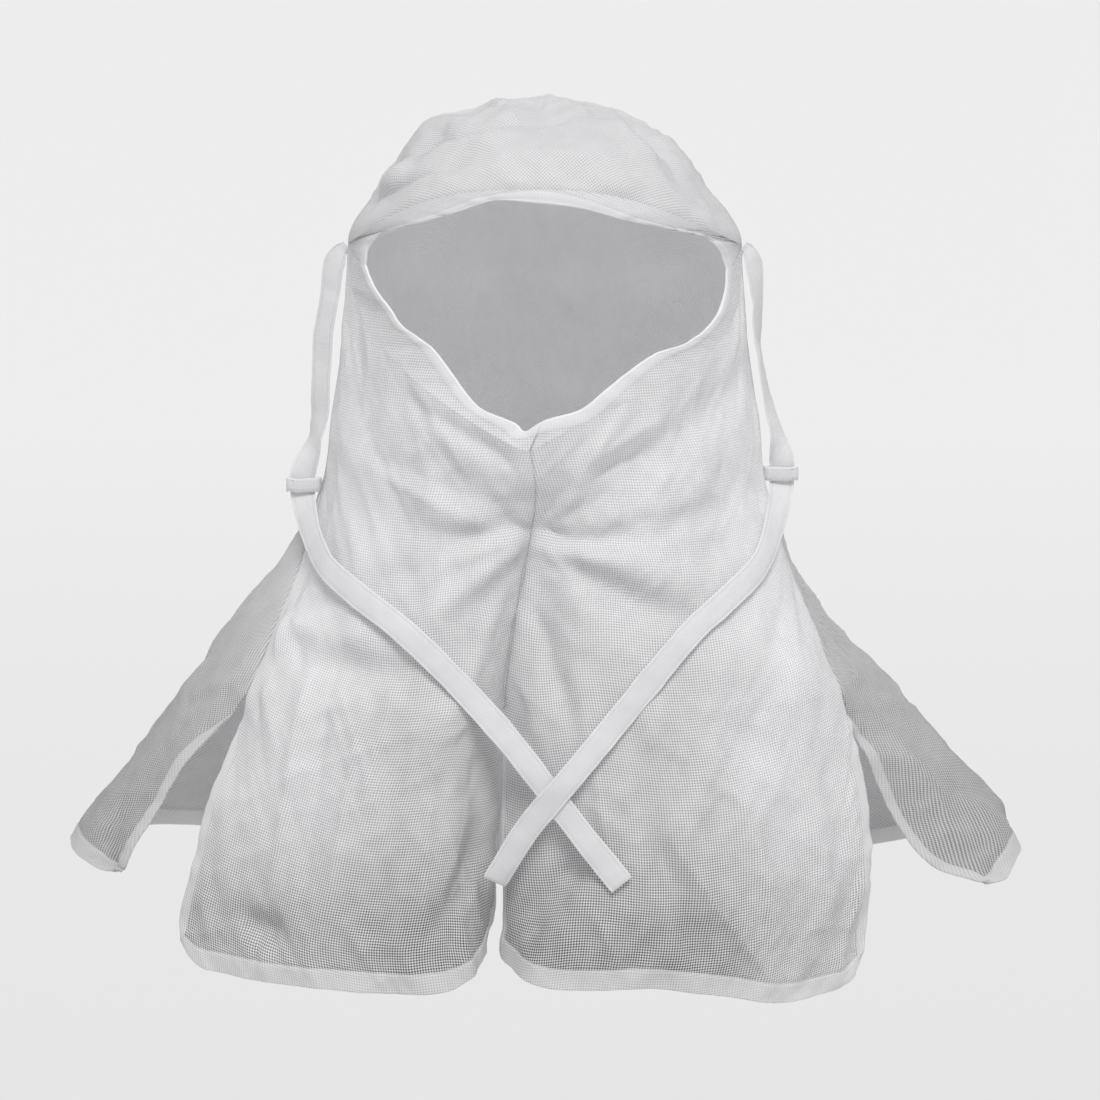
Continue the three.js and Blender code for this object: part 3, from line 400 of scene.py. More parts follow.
def read(values, at):
    """Smooth value of one column of a table, at row numbers that may lie between two rows."""
    values = np.asarray(values, float)
    last = len(values) - 1
    index = np.clip(np.floor(at).astype(int), 0, last - 1)
    share = at - index
    here = values[index]
    after = values[index + 1]
    start = np.where(index == 0, after - here, (after - values[np.maximum(index - 1, 0)]) / 2)
    end = np.where(index + 1 == last, after - here, (values[np.minimum(index + 2, last)] - here) / 2)
    square = share**2
    cube = share**3
    return (
        here * (2 * cube - 3 * square + 1)
        + start * (cube - 2 * square + share)
        + after * (3 * square - 2 * cube)
        + end * (cube - square)
    )


def edge_at(flap, at):
    """A panel's edge: the side seam, and below the slit's top the flap's own free edge."""
    at = np.asarray(at, float)

    def column(name):
        seam = read(SEAM[name], np.minimum(at, SLIT_ROW))
        free = read([SEAM[name][-1], *flap[name]], np.maximum(at - SLIT_ROW, 0))
        return np.where(at <= SLIT_ROW, seam, free)

    return (
        mix(HEAD_HALF_WIDTH, CAPE_HALF_WIDTH, column("flare")),
        CHEST_DEPTH * np.maximum(0, column("forward")),
        mix(TEMPLE_DROP, HOOD_HEIGHT, column("drop")),
    )


def oval_reach(angle, half_width, depth, square):
    """Distance from the axis to an oval. angle: 0 along its depth; square: 2 is an ellipse, and more is
    squarer."""
    wide = (np.abs(np.sin(angle)) / half_width) ** square
    deep = (np.abs(np.cos(angle)) / depth) ** square
    return (wide + deep) ** (-1 / square)


def gathered_folds(side, across, drop):
    """How far the folds out of the gathers stand out."""
    gather_drop = mix(CHIN_DROP, HOOD_HEIGHT, FRONT["drop"][GATHER_ROW])
    height = np.zeros_like(across)
    for turn, reach, rise, width in RAYS[side]:
        turn = math.radians(turn)
        along = across * math.cos(turn) + (drop - gather_drop) * math.sin(turn)
        aside = (drop - gather_drop) * math.cos(turn) - across * math.sin(turn)
        share = np.clip(along / (reach * HEAD_HALF_WIDTH), 0, 1)
        spread = width * CHEST_DEPTH * mix(*FOLD_SPREAD, share)
        height += rise * CHEST_DEPTH * np.sin(np.pi * share**FOLD_PEAK) * bell(aside, spread)
    return height


def front_points(side, across, at):
    """Middle of a front panel's cloth. across: 0 at the centre seam, 1 at the side; at: row number."""
    across, at = np.broadcast_arrays(np.asarray(across, float), np.asarray(at, float))
    edge_x, edge_forward, edge_drop = edge_at(FLAP_EDGE[side], at)
    belly = mix(FACE_DEPTH, CHEST_DEPTH, read(FRONT["belly"], at))
    square = mix(*FRONT_SQUARE, at / LAST_ROW)
    half_width = edge_x / (1 - (edge_forward / belly) ** square) ** (1 / square)
    angle = np.arctan2(edge_x, edge_forward) * across
    reach = oval_reach(angle, half_width, belly, square)
    below = smooth((at - SLIT_ROW) / (LAST_ROW - SLIT_ROW))
    corner = SLIT_CORNER[side]
    pinch = read(FRONT["pinch"], at)
    valley = CHEST_DEPTH * (read(FRONT["valley"], at) + corner["back"] * below) * (1 - across) ** pinch
    line = FACE[side]
    face_line = 1 - (1 - line["corner"]) * across ** line["cheek"] - line["corner"] * across**CORNER_POWER
    fall = mix(face_line, (1 - across) ** pinch, smooth(at / SLIT_ROW))
    centre_drop = mix(CHIN_DROP, HOOD_HEIGHT, read(FRONT["drop"], at) - corner["lift"] * below)
    sag = read(HEM_LINE[side], across * (len(HEM_LINE[side]) - 1))
    drop = mix(edge_drop, centre_drop, fall) + sag * below
    fade = smooth(at) * smooth((1 - across) * FOLD_FADE)
    outward = gathered_folds(side, reach * np.sin(angle), drop) * fade
    opening = SLIT_SPREAD * below * (1 - across)
    drift = HEAD_HALF_WIDTH * read(FRONT["drift"], at) * (1 - across) ** 2
    return np.stack(
        [
            SIDES[side] * ((reach + outward) * np.sin(angle) + opening) - drift,
            valley - (reach + outward) * np.cos(angle),
            -drop,
        ],
        -1,
    )


def back_points(side, across, at):
    """Middle of the back's cloth. across: 0 at the side seam or slit, 1 at the centre back."""
    across, at = np.broadcast_arrays(np.asarray(across, float), np.asarray(at, float))
    edge_x, edge_forward, edge_drop = edge_at(WING_EDGE[side], at)
    fullness = SHOULDER_FULLNESS[side] * bell(at - SHOULDER_ROW, SHOULDER_SPAN)
    ridge_x = mix(HEAD_HALF_WIDTH, CAPE_HALF_WIDTH, read(BACK["ridge"], at) + fullness)
    ridge_y = BACK_DEPTH * read(BACK["behind"], at)
    ridge_drop = mix(TEMPLE_DROP, HOOD_HEIGHT, read(BACK["ridge_drop"], at))
    square = read(BACK["square"], at)
    start = -np.arctan2(np.maximum(0, edge_forward + ridge_y), edge_x)
    angle = mix(start, np.pi / 2, across)
    share = np.where(angle < 0, angle / np.minimum(start, -1e-9), 0)
    round_angle = np.maximum(angle, 0)
    depth = BACK_DEPTH * read(BACK["back"], at) - ridge_y
    reach = oval_reach(np.pi / 2 - round_angle, ridge_x, depth, square)
    sag = BACK_SAG[side] * smooth((at - SLIT_ROW) / (LAST_ROW - SLIT_ROW)) * np.sin(2 * round_angle)
    sag *= smooth((1 - across) * 1.8)
    back_drop = mix(TEMPLE_DROP, HOOD_HEIGHT, read(BACK["back_drop"], at) + sag)
    fall = np.sin(round_angle) ** mix(*BACK_FALL, at / LAST_ROW)
    forward = angle < 0
    return np.stack(
        [
            SIDES[side] * np.where(forward, mix(ridge_x, edge_x, share**2), reach * np.cos(round_angle)),
            np.where(forward, mix(ridge_y, -edge_forward, share), ridge_y + reach * np.sin(round_angle)),
            -np.where(forward, mix(ridge_drop, edge_drop, share**2), mix(ridge_drop, back_drop, fall)),
        ],
        -1,
    )


def face_points(angle, drop):
    """The upright oval wall that the face opening is cut in. angle: 0 at the middle of the face."""
    reach = oval_reach(angle, HEAD_HALF_WIDTH, FACE_DEPTH, 2)
    return np.stack([reach * np.sin(angle), -reach * np.cos(angle), -drop], -1)


def brow_drop(angle):
    brow = np.where(angle > 0, FACE["left"]["brow"], FACE["right"]["brow"])
    return mix(FOREHEAD_DROP, TEMPLE_DROP, np.abs(np.sin(angle)) ** brow)


def crown_points(ring, down):
    """Crown between its top and the points of its lower ring. down: 0 at the top, 1 at the ring."""
    turn = np.arctan2(ring[..., 0], -ring[..., 1])
    angle = down * np.pi / 2
    roundness = CROWN_ROUND + CROWN_FRONT_ROUND * np.maximum(0, np.cos(turn)) ** 2
    spread = np.sin(angle) ** roundness
    crease = np.zeros_like(turn + down)
    for place, span, height, rise, width in CROWN_CREASES:
        aside = bell(turn - math.radians(place), math.radians(span))
        crease = crease + FACE_DEPTH * rise * aside * bell(down - height, width)
    swell = 1 + crease / FACE_DEPTH * CREASE_SWELL
    return np.stack(
        [
            ring[..., 0] * spread * swell,
            mix(CROWN_SETBACK, ring[..., 1], spread * swell),
            ring[..., 2] * (1 - np.cos(angle) ** roundness) + crease * np.cos(angle),
        ],
        -1,
    )


def line_shares(row_length, cells, at_start, at_end):
    """Places of grid lines along rows, as shares of their length: hem lines at one or both ends, even cells
    between."""
    row_length = np.asarray(row_length, float)[..., None]
    hem = np.array(HEM_LINES) / row_length
    start = hem[..., -1:] if at_start else 0 * row_length
    end = 1 - hem[..., -1:] if at_end else 0 * row_length + 1
    parts = [start + (end - start) * np.linspace(0, 1, cells + 1)]
    if at_start:
        parts.insert(0, hem[..., :-1])
    if at_end:
        parts.append(1 - hem[..., -2::-1])
    return np.concatenate(parts, -1)


def row_numbers(total, seam_cells, cells_below):
    """Row numbers of a sheet: even ones down the side seam, then finer ones towards the hem."""
    seam = np.linspace(0, SLIT_ROW, seam_cells, endpoint=False)
    below = line_shares(total * (1 - SLIT_ROW / LAST_ROW), cells_below, False, True)
    return np.concatenate([seam, mix(SLIT_ROW, LAST_ROW, below)])


def walked(points, axis):
    """Length walked along one axis of a grid of points."""
    steps = length(np.diff(points, axis=axis))
    start = np.zeros_like(np.take(steps, [0], axis=axis))
    return np.concatenate([start, np.cumsum(steps, axis=axis)], axis=axis)


def way_along(line):
    """Length walked along a line of points."""
    return np.concatenate([[0], np.cumsum(length(np.diff(line, axis=0)))])


def grid_numbers(shape, start=0, closed=False):
    """Numbers of a grid's points, with the first row again at the end where the grid is closed."""
    numbers = start + np.arange(shape[0] * shape[1]).reshape(shape[:2])
    return np.concatenate([numbers, numbers[:1]], 0) if closed else numbers


def grid_faces(numbers):
    """Quads between the numbers of a grid's points."""
    corners = [numbers[:-1, :-1], numbers[:-1, 1:], numbers[1:, 1:], numbers[1:, :-1]]
    return np.stack(corners, -1).reshape(-1, 4)


def point_normals(points, faces):
    """Normals of a mesh's points, from its quads."""
    corners = points[faces]
    facing = np.cross(corners[:, 2] - corners[:, 0], corners[:, 3] - corners[:, 1])
    normals = np.zeros_like(points)
    for corner in range(4):
        np.add.at(normals, faces[:, corner], facing)
    return unit(normals)


def evened(normals, times):
    """Normals of a grid's points, each evened out with its neighbours'."""
    for _ in range(times):
        padded = np.pad(normals, ((1, 1), (1, 1), (0, 0)), mode="edge")
        beside = padded[1:-1, :-2] + padded[1:-1, 2:] + padded[:-2, 1:-1] + padded[2:, 1:-1]
        normals = unit(normals + beside / 2)
    return normals


def outward(points, faces, triangles=()):
    """The faces, all turned so that they look away from the hood's axis on the whole."""
    corners = points[faces]
    facing = np.cross(corners[:, 2] - corners[:, 0], corners[:, 3] - corners[:, 1])
    centre = corners.mean(1) * (1, 1, 0.2)
    if (facing * centre).sum() < 0:
        return faces[:, ::-1], [tuple(reversed(face)) for face in triangles]
    return faces, list(triangles)


def soft_noise(u, v, size, seed):
    """Smooth noise from -1 to 1, with dents about size apart."""
    rows, columns = NOISE_TABLE
    table = np.random.default_rng(seed).uniform(-1, 1, (rows, columns))
    x = np.asarray(u) / size + NOISE_START
    y = np.asarray(v) / size + NOISE_START
    column = np.floor(x).astype(int)
    row = np.floor(y).astype(int)
    across = smooth(x - column)
    down = smooth(y - row)

    def corner(right, below):
        return table[(row + below) % rows, (column + right) % columns]

    upper = mix(corner(0, 0), corner(1, 0), across)
    lower = mix(corner(0, 1), corner(1, 1), across)
    return mix(upper, lower, down)


def dents(u, v, seed):
    """Height of the cloth's own soft dents."""
    turned_u = 0.8 * u + 0.6 * v
    turned_v = 0.8 * v - 0.6 * u
    total = 0
    for index, (size, height) in enumerate(DENTS):
        total = total + height * soft_noise(u * 1.25, v * 0.8, size, seed + index)
        total = total + height * 0.6 * soft_noise(turned_u * 0.8, turned_v * 1.4, size, seed + index + 40)
    return total


def crumple(u, v, seed):
    """Height of paper-like creases, sharp along their tops."""
    total = 0
    for size, height, turn in CRUMPLES:
        turn = math.radians(turn)
        along = u * math.cos(turn) + v * math.sin(turn)
        aside = v * math.cos(turn) - u * math.sin(turn)
        total = total + height * (0.33 - np.abs(soft_noise(along * 2.0, aside * 0.55, size, seed + size)))
    return total


def crease_lines(table, x, drop):
    """Height of creases that run from place to place: narrow ones are sharp, wide ones round."""
    height = np.zeros_like(x)
    for x0, drop0, x1, drop1, rise, width in table:
        run = math.hypot(x1 - x0, drop1 - drop0)
        along = ((x - x0) * (x1 - x0) + (drop - drop0) * (drop1 - drop0)) / run**2
        aside = ((x - x0) * (drop1 - drop0) - (drop - drop0) * (x1 - x0)) / run
        past = np.maximum(np.abs(along - 0.5) - 0.25, 0) * run
        sharp = np.exp(-np.sqrt(aside**2 + 0.2) / width)
        profile = bell(aside, width) if width > SHARP_CREASE else sharp
        height += rise * profile * bell(past, 0.3 * run + width / 2)
    return height


def rolled_edge(distance, radius, least):
    """Share of a sheet's wall near its rounded edge, from the least at the edge to 1 at the radius."""
    return np.sqrt(np.clip(1 - (1 - np.minimum(distance, radius) / radius) ** 2, least, 1))


def hem_thickness(distance, cloth, hem):
    """Wall of the cloth at a distance from a hem's edge: a rolled edge, a double band and a stitched step."""
    band = mix(hem, cloth, smooth((distance - STITCH_LINE + 0.5) / 1.2))
    return np.where(distance > FAR, cloth, band * rolled_edge(distance, HEM_ROLL, 0.02))


def both_faces(settings, distance):
    """How far a sheet's two faces lie from its middle: a hem is thicker, for the most part inward."""
    wall = hem_thickness(distance, settings.cloth_wall, settings.hem_wall)
    front = np.minimum(wall / 2, settings.cloth_wall / 2 + HEM_PROUD)
    return front, wall - front


def hem_relief(distance, along, seed):
    """How far a hem stands out of the cloth, with its stitched line drawn in and its small puckers."""
    band = 0.45 * smooth((STITCH_LINE + 0.9 - distance) / 1.4)
    groove = -0.7 * bell(distance - STITCH_LINE, 0.8)
    pucker = 0.6 * soft_noise(along, distance * 0.4, 7.0, seed)
    pucker = pucker + 0.9 * soft_noise(along, distance * 0.2, 19.0, seed + 1)
    return band + groove + pucker * bell(distance - STITCH_LINE + 3, 9)


def nearest_hem(at, to_hem, to_slits, across, down):
    """Distance to the nearest hem's edge, and the way along it. to_slits: distances to the free sides of a
    flap, which are hems only below the top of the slit."""
    closed = HEM_WIDTH * 1.2 * (1 - smooth((at - SLIT_ROW) / HEM_START))
    hems = np.stack([to_hem, *[to_slit + closed for to_slit in to_slits]])
    return hems.min(0), np.where(hems.argmin(0) == 0, across, down)


def rounded_corner(points, radius):
    """A grid whose last row is lifted near its last column, so that the corner there is round."""
    across = walked(points, 1)
    down = walked(points, 0)
    from_side = across[:, -1:] - across
    to_hem = down[-1:, :] - down
    short = np.clip(1 - from_side / radius, 0, 1)
    lift = radius * (1 - np.sqrt(1 - short**2)) * np.clip(1 - to_hem / (2.6 * radius), 0, 1) ** 1.5
    step = unit(points[-2:-1] - points[-1:])
    return points + step * lift[..., None]


def spread_out(values, shape):
    return np.broadcast_to(values, shape).ravel()


def cloth_masks(distance, along, seam_distance=99.0, see_through_shade=TAPE_SEE_THROUGH_SHADE):
    """Masks of a sheet's points: the distance to a hem's edge, the way along it, the distance to a seam, and
    the painted shade where the dark inside shows through. A single number holds for all points."""
    masks = {"hem_distance": distance, "hem_along": along, "seam_distance": seam_distance, "see_through_shade": see_through_shade}
    return {name: spread_out(values, distance.shape) for name, values in masks.items()}


def rim_edges(faces, triangles, count):
    """Edges that only one face of a sheet has, as pairs of point numbers."""
    heads = np.stack([faces, np.roll(faces, -1, 1)], -1).reshape(-1, 2)
    if len(triangles):
        corners = np.array(triangles)
        heads = np.concatenate([heads, np.stack([corners, np.roll(corners, -1, 1)], -1).reshape(-1, 2)])
    keys = heads[:, 0] * count + heads[:, 1]
    reverse = heads[:, 1] * count + heads[:, 0]
    return heads[~np.isin(keys, reverse)]


def mark_seams(mesh, rim, joined, count):
    """Keeps the sheet's shading even up to a seam, by a sharp edge along it on both faces of the cloth."""
    ends = np.zeros(2 * len(mesh.edges), int)
    mesh.edges.foreach_get("vertices", ends)
    ends = ends.reshape(-1, 2)
    level = (ends[:, 0] < count) == (ends[:, 1] < count)
    ends = np.sort(ends % count, 1)
    on_rim = np.isin(ends[:, 0] * count + ends[:, 1], np.sort(rim, 1) @ [count, 1])
    mesh.edges.foreach_set("use_edge_sharp", level & on_rim & joined[ends].all(1))


def sheet_object(name, points, faces, front, back, maps, masks, triangles=(), joined=None):
    """A closed cloth sheet. front and back: how far its two faces lie from its middle, in millimetres;
    joined: which of its points lie on a seam."""
    normals = point_normals(points, faces)
    outer = points + normals * front[:, None]
    inner = points - normals * back[:, None]
    count = len(points)
    all_faces = [tuple(face) for face in faces.tolist()] + [tuple(face) for face in triangles]
    rim = rim_edges(faces, triangles, count)
    under = [tuple(corner + count for corner in reversed(face)) for face in all_faces]
    sides = [(b, a, a + count, b + count) for a, b in rim.tolist()]
    mesh = bpy.data.meshes.new(name)
    mesh.from_pydata((np.concatenate([outer, inner]) / 1000).tolist(), [], all_faces + under + sides)
    loops = np.zeros(len(mesh.loops), int)
    mesh.loops.foreach_get("vertex_index", loops)
    for map_name, values in maps.items():
        layer = mesh.uv_layers.new(name=map_name)
        layer.data.foreach_set("uv", (values[loops % count] / 1000).astype(np.float32).ravel())
    doubled = {mask_name: np.concatenate([values, values]) for mask_name, values in masks.items()}
    doubled["inner_side"] = np.repeat([0.0, 1.0], count)
    for mask_name, values in doubled.items():
        attribute = mesh.attributes.new(mask_name, "FLOAT", "POINT")
        attribute.data.foreach_set("value", values.astype(np.float32))
    mesh.polygons.foreach_set("use_smooth", [True] * len(mesh.polygons))
    if joined is not None:
        mark_seams(mesh, rim, joined, count)
    mesh.update()
    mesh.validate()
    piece = bpy.data.objects.new(name, mesh)
    bpy.context.scene.collection.objects.link(piece)
    return piece


def finished(piece, node_name, material_name):
    """Puts a piece on its body, gives it its material and has it stand for its node."""
    piece.data.materials.append(bpy.data.materials[material_name])
    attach(piece, "root")
    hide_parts(node_name)


def panel_see_through_shade(side, x, drop):
    """Painted shade where the dark inside shows through a front panel: most near its hem, and less at its
    sides.
    """
    low = mix(0.3, 0.75, smooth((drop - 190) / 180))
    far = smooth((x - 90) / 50) if side == "left" else 0 * x
    return low + 0.7 * smooth((drop - 370) / 90) * (1 - 0.45 * far) - 0.3 * smooth((x - 70) / 60)


def gather_pleats(side, x, drop):
    """Height of the small pleats that run into the gathers on the centre seam."""
    below = drop - mix(CHIN_DROP, HOOD_HEIGHT, FRONT["drop"][GATHER_ROW])
    turn = np.arctan2(below, x + PLEAT_CENTRE)
    away = np.hypot(below, x + PLEAT_CENTRE)
    pleats = soft_noise(np.degrees(turn), away * 0.05, PLEAT_TURN, SEEDS[side] + 3)
    return pleats * bell(away - 20, PLEAT_REACH) * smooth(away / PLEAT_FADE)


def panel_grid(side):
    """Middle of a front panel's cloth as a grid of points, its row numbers and its shares across."""
    middle = front_points(side, 0.5, np.linspace(0, LAST_ROW, PROBES))
    rows = row_numbers(walked(middle, 0)[-1], PANEL_CELLS[1], PANEL_CELLS[2])
    probe = front_points(side, np.linspace(0, 1, PROBES)[None, :], rows[:, None])
    shares = line_shares(walked(probe, 1)[:, -1], PANEL_CELLS[0], True, True)
    at = np.broadcast_to(rows[:, None], shares.shape)
    return rounded_corner(front_points(side, shares, at), CORNER_ROUND), at, shares


def panel_surface(settings, side):
    """Middle of a front panel's cloth with its folds, and what its sheet is made from."""
    points, at, shares = panel_grid(side)
    seed = SEEDS[side]
    across = walked(points, 1)
    down = walked(points, 0)
    from_side = across[:, -1:] - across
    free = smooth((at - SLIT_ROW) / SLIT_START)
    x = SIDES[side] * points[..., 0]
    drop = -points[..., 2]
    relief = settings.fold_height * crease_lines(FRONT_CREASES[side], x, drop)
    relief += settings.dent_height * dents(from_side, down, seed)
    relief += settings.crumple_height * crumple(from_side, down, seed + 60)
    relief += gather_pleats(side, x, drop)
    at_slit = mix(smooth(across / SEAM_FADE), mix(0.3, 1, smooth(across / SLIT_FADE)), free)
    at_face = mix(0.45, 1, smooth(down / FACE_FADE))
    relief *= np.maximum(smooth(from_side / SIDE_FADE), free) * at_slit * at_face
    gather = bell(at - GATHER_ROW, 1.8) * bell(across - 4, 16) * smooth(across / 3)
    relief += gather * 0.9 * soft_noise(drop, across * 0.25, 5.5, seed + 5)
    to_slits = [across * SLIT_HEM, from_side * SIDE_HEM]
    distance, along = nearest_hem(at, down[-1:, :] - down, to_slits, across, down)
    drawn_in = -0.5 * (bell(across, SEAM_WIDTH) + bell(from_side, SEAM_WIDTH)) * (1 - free)
    relief += drawn_in + hem_relief(distance, along, seed + 9)
    faces, _ = outward(points.reshape(-1, 3), grid_faces(grid_numbers(points.shape)))
    directions = evened(point_normals(points.reshape(-1, 3), faces).reshape(points.shape), EVENINGS)
    flat = (points + directions * relief[..., None]).reshape(-1, 3)
    front, back = both_faces(settings, distance.ravel())
    level = walked(points * (1, 1, 0), 1)
    grain = level[:, -1:] - level
    cloth_map = np.stack([grain.ravel(), (down + drop[:1]).ravel()], -1)
    seam_distance = np.where(free > 0.5, 99, np.minimum(across, from_side))
    # The last mask is painted shade where the dark inside shows through
    masks = cloth_masks(distance, along, seam_distance, panel_see_through_shade(side, x, drop))
    joined = np.minimum(down, np.minimum(across, from_side) + 99 * (at > SLIT_ROW)) < ON_SEAM
    upper = {"share": shares[0], "place": flat[: shares.shape[1]], "grain": grain[0]}
    return (flat, faces, front, back, {"cloth": cloth_map}, masks, (), joined.ravel()), upper


def front_panel(settings, side):
    """One front panel with its flap, from the face opening's hem to its own."""
    sheet, _ = panel_surface(settings, side)
    return sheet_object(f"cloth_front_{side}", *sheet)


def back_grid():
    """Middle of the back's cloth, from the left side to the right one, and its row numbers."""
    middle = back_points("left", 0.5, np.linspace(0, LAST_ROW, PROBES))
    rows = row_numbers(walked(middle, 0)[-1], BACK_CELLS[1], BACK_CELLS[2])
    halves = {}
    for side in SIDES:
        probe = back_points(side, np.linspace(0, 1, PROBES)[None, :], rows[:, None])
        shares = line_shares(walked(probe, 1)[:, -1], BACK_CELLS[0], True, False)
        half = back_points(side, shares, rows[:, None])
        halves[side] = rounded_corner(half[:, ::-1], CORNER_ROUND * 0.7)[:, ::-1]
    grid = np.concatenate([halves["left"], halves["right"][:, -2::-1]], 1)
    return grid, np.broadcast_to(rows[:, None], grid.shape[:2])


def around_top(reach, turn):
    """Flat places at a distance and a turn from the crown's top."""
    return np.stack([reach * np.sin(turn), reach * np.cos(turn)], -1).reshape(-1, 2)


def on_bias(places):
    """Flat places turned so that the weave runs on the bias."""
    turn = math.radians(45)
    u = places[:, 0]
    v = places[:, 1]
    return np.stack([u * math.cos(turn) - v * math.sin(turn), u * math.sin(turn) + v * math.cos(turn)], -1)


def crown_relief(settings, dome, turn, from_top):
    """Folds of the crown: dents, crumples, ribs that meet at its top, and creases over the forehead."""
    u = from_top * np.sin(turn) + 500
    v = from_top * np.cos(turn) + 90
    relief = CROWN_DENTS * settings.dent_height * dents(u, v, SEEDS["crown"])
    relief += CROWN_CRUMPLES * settings.crumple_height * crumple(u, v, SEEDS["crown"])
    ribs = 0.3 * np.sin(turn * 23 + 1.3 * np.sin(turn * 5)) * bell(from_top - 30, 22)
    seen_drop = -dome[..., 2] - dome[..., 1] * math.tan(CAMERA_LIFT)
    folds = crease_lines(CROWN_FOLDS, dome[..., 0], seen_drop) * smooth((20 - dome[..., 1]) / 30)
    return relief + (ribs + CROWN_FOLDING * settings.fold_height * folds)


def fitted_outline(points, closeness):
    """Crown points moved so that their outline in the camera's view is the crown's own. closeness: 0 at its
    ring, where nothing moves."""
    rise = OUTLINE_CENTRE + points[:, 2] + points[:, 1] * math.tan(CAMERA_LIFT)
    turn = np.arctan2(points[:, 0], rise)
    reach = np.hypot(points[:, 0], rise)
    centres = np.radians(np.arange(-112, 113, 3.0))
    near_each = [np.abs(turn - centre) < math.radians(2.2) for centre in centres]
    widest = np.array([reach[near].max(initial=1.0) for near in near_each])
    line = spline(np.column_stack([CROWN_OUTLINE, np.zeros(len(CROWN_OUTLINE))]), 400)
    line_rise = OUTLINE_CENTRE - line[:, 1]
    wanted = np.interp(centres, np.arctan2(line[:, 0], line_rise), np.hypot(line[:, 0], line_rise))
    growth = np.interp(turn, centres, wanted / widest) - 1
    near = smooth((reach / np.interp(turn, centres, widest) - 0.35) / 0.6)
    growth *= near * closeness * smooth((np.radians(104) - np.abs(turn)) * 6)
    moved = points.copy()
    moved[:, 0] += points[:, 0] * growth
    moved[:, 2] += rise * growth
    return moved


def crown_and_back(settings):
    """Crown, back and both shoulder flaps in one sheet, with the weave on the bias."""
    grid, at = back_grid()
    wide = grid.shape[1]
    count = grid.shape[0] * wide
    across = walked(grid, 1)
    down = walked(grid, 0)
    to_edge = np.minimum(across, across[:, -1:] - across)
    from_back = across - across[:, wide // 2, None]
    free = smooth((at - SLIT_ROW) / SLIT_START)

    turns = np.linspace(-np.pi / 2, np.pi / 2, BROW_CELLS + 1)[1:-1]
    brow = face_points(turns, brow_drop(turns))
    ring = np.concatenate([grid[0], brow])
    levels = np.linspace(0, 1, CROWN_LEVELS + 1)[1:-1, None] ** 0.92
    dome = crown_points(ring[None], levels)
    above_grid = len(brow) + dome.shape[0] * dome.shape[1] + 1
    top_number = count + above_grid - 1
    points = np.concatenate([grid.reshape(-1, 3), brow, dome.reshape(-1, 3), [[0, CROWN_SETBACK, 0]]])

    numbers = grid_numbers(grid.shape)
    ring_numbers = np.concatenate([numbers[0], count + np.arange(len(brow))])
    levelled = np.concatenate([grid_numbers(dome.shape, count + len(brow)), ring_numbers[None]], 0)
    levelled = np.concatenate([levelled, levelled[:, :1]], 1)
    fan = [(top_number, int(b), int(a)) for a, b in zip(levelled[0, :-1], levelled[0, 1:])]
    faces, fan = outward(points, np.concatenate([grid_faces(numbers), grid_faces(levelled)]), fan)

    relief_back = settings.dent_height * dents(from_back, down + 300, SEEDS["back"])
    relief_back += settings.crumple_height * crumple(from_back, down + 300, SEEDS["back"])
    relief_back += settings.fold_height * crease_lines(BACK_CREASES, grid[..., 0], -grid[..., 2])
    relief_back *= np.maximum(smooth(to_edge / SIDE_FADE), free) * smooth((down + 4) / 20)
    distance, along = nearest_hem(at, down[-1:, :] - down, [to_edge * SIDE_HEM], across, down)
    relief_back += hem_relief(distance, along, SEEDS["back_hem"]) - 0.9 * bell(to_edge, 1.6) * (1 - free)

    turn = np.arctan2(dome[..., 0], -(dome[..., 1] - CROWN_SETBACK))
    from_top = np.cumsum(np.concatenate([length(dome[:1] - points[-1]), length(np.diff(dome, axis=0))]), 0)
    ring_top = from_top[-1] + length(ring - dome[-1])
    near_ring = smooth((1 - levels) * mix(9, 4, np.abs(np.sin(turn)) ** 4))
    relief_dome = crown_relief(settings, dome, turn, from_top) * near_ring
    relief = np.concatenate([relief_back.ravel(), np.zeros(len(brow)), relief_dome.ravel(), [0.0]])
    points = points + point_normals(points, faces) * relief[:, None]
    over = slice(count + len(brow), None)
    points[over] = fitted_outline(points[over], np.append(near_ring.ravel(), 1.0))

    ring_turn = np.arctan2(ring[:, 0], -(ring[:, 1] - CROWN_SETBACK))
    crown_map = np.concatenate(
        [
            around_top(ring_top[:wide] + down, ring_turn[:wide]),
            around_top(ring_top[wide:], ring_turn[wide:]),
            around_top(from_top, turn),
            [[0, 0]],
        ]
    )
    brow_u = turns * HEAD_HALF_WIDTH
    dome_u = spread_out(np.concatenate([from_back[0], brow_u]), dome.shape[:2])
    back_u = np.concatenate([from_back.ravel(), brow_u, dome_u, [0.0]])
    back_v = np.concatenate([down.ravel(), np.zeros(len(brow)), (from_top - ring_top).ravel(), [0.0]])
    maps = {"cloth": on_bias(np.stack([back_u, back_v], -1)), "crown": on_bias(crown_map)}

    distance = np.concatenate([distance.ravel(), np.full(above_grid, 999.0)])
    along = np.concatenate([along.ravel(), np.zeros(above_grid)])
    seam_distance = np.where(free > 0.5, 99, to_edge).ravel()
    seam_distance = np.concatenate([seam_distance, np.full(above_grid, 99.0)])
    # Painted shade where the dark inside shows through: more low down than on the crown, and less towards the
    # back
    upper = mix(0.32, 0.1, smooth((points[:, 1] + 10) / 60))
    lower = mix(0.92, 0.7, smooth((points[:, 1] - 20) / 60))
    see_through_shade = mix(upper, lower, smooth((-points[:, 2] - 160) / 290))
    masks = cloth_masks(distance, along, seam_distance, see_through_shade)
    masks["crown_share"] = np.concatenate([smooth(1 - down / 30).ravel(), np.ones(above_grid)])
    joined = np.zeros(len(points), bool)
    joined[:count] = ((to_edge < ON_SEAM) & (at <= SLIT_ROW)).ravel()
    joined[count : count + len(brow)] = True
    front, back = both_faces(settings, distance)
    return sheet_object("cloth_crown_back", points, faces, front, back, maps, masks, fan, joined)


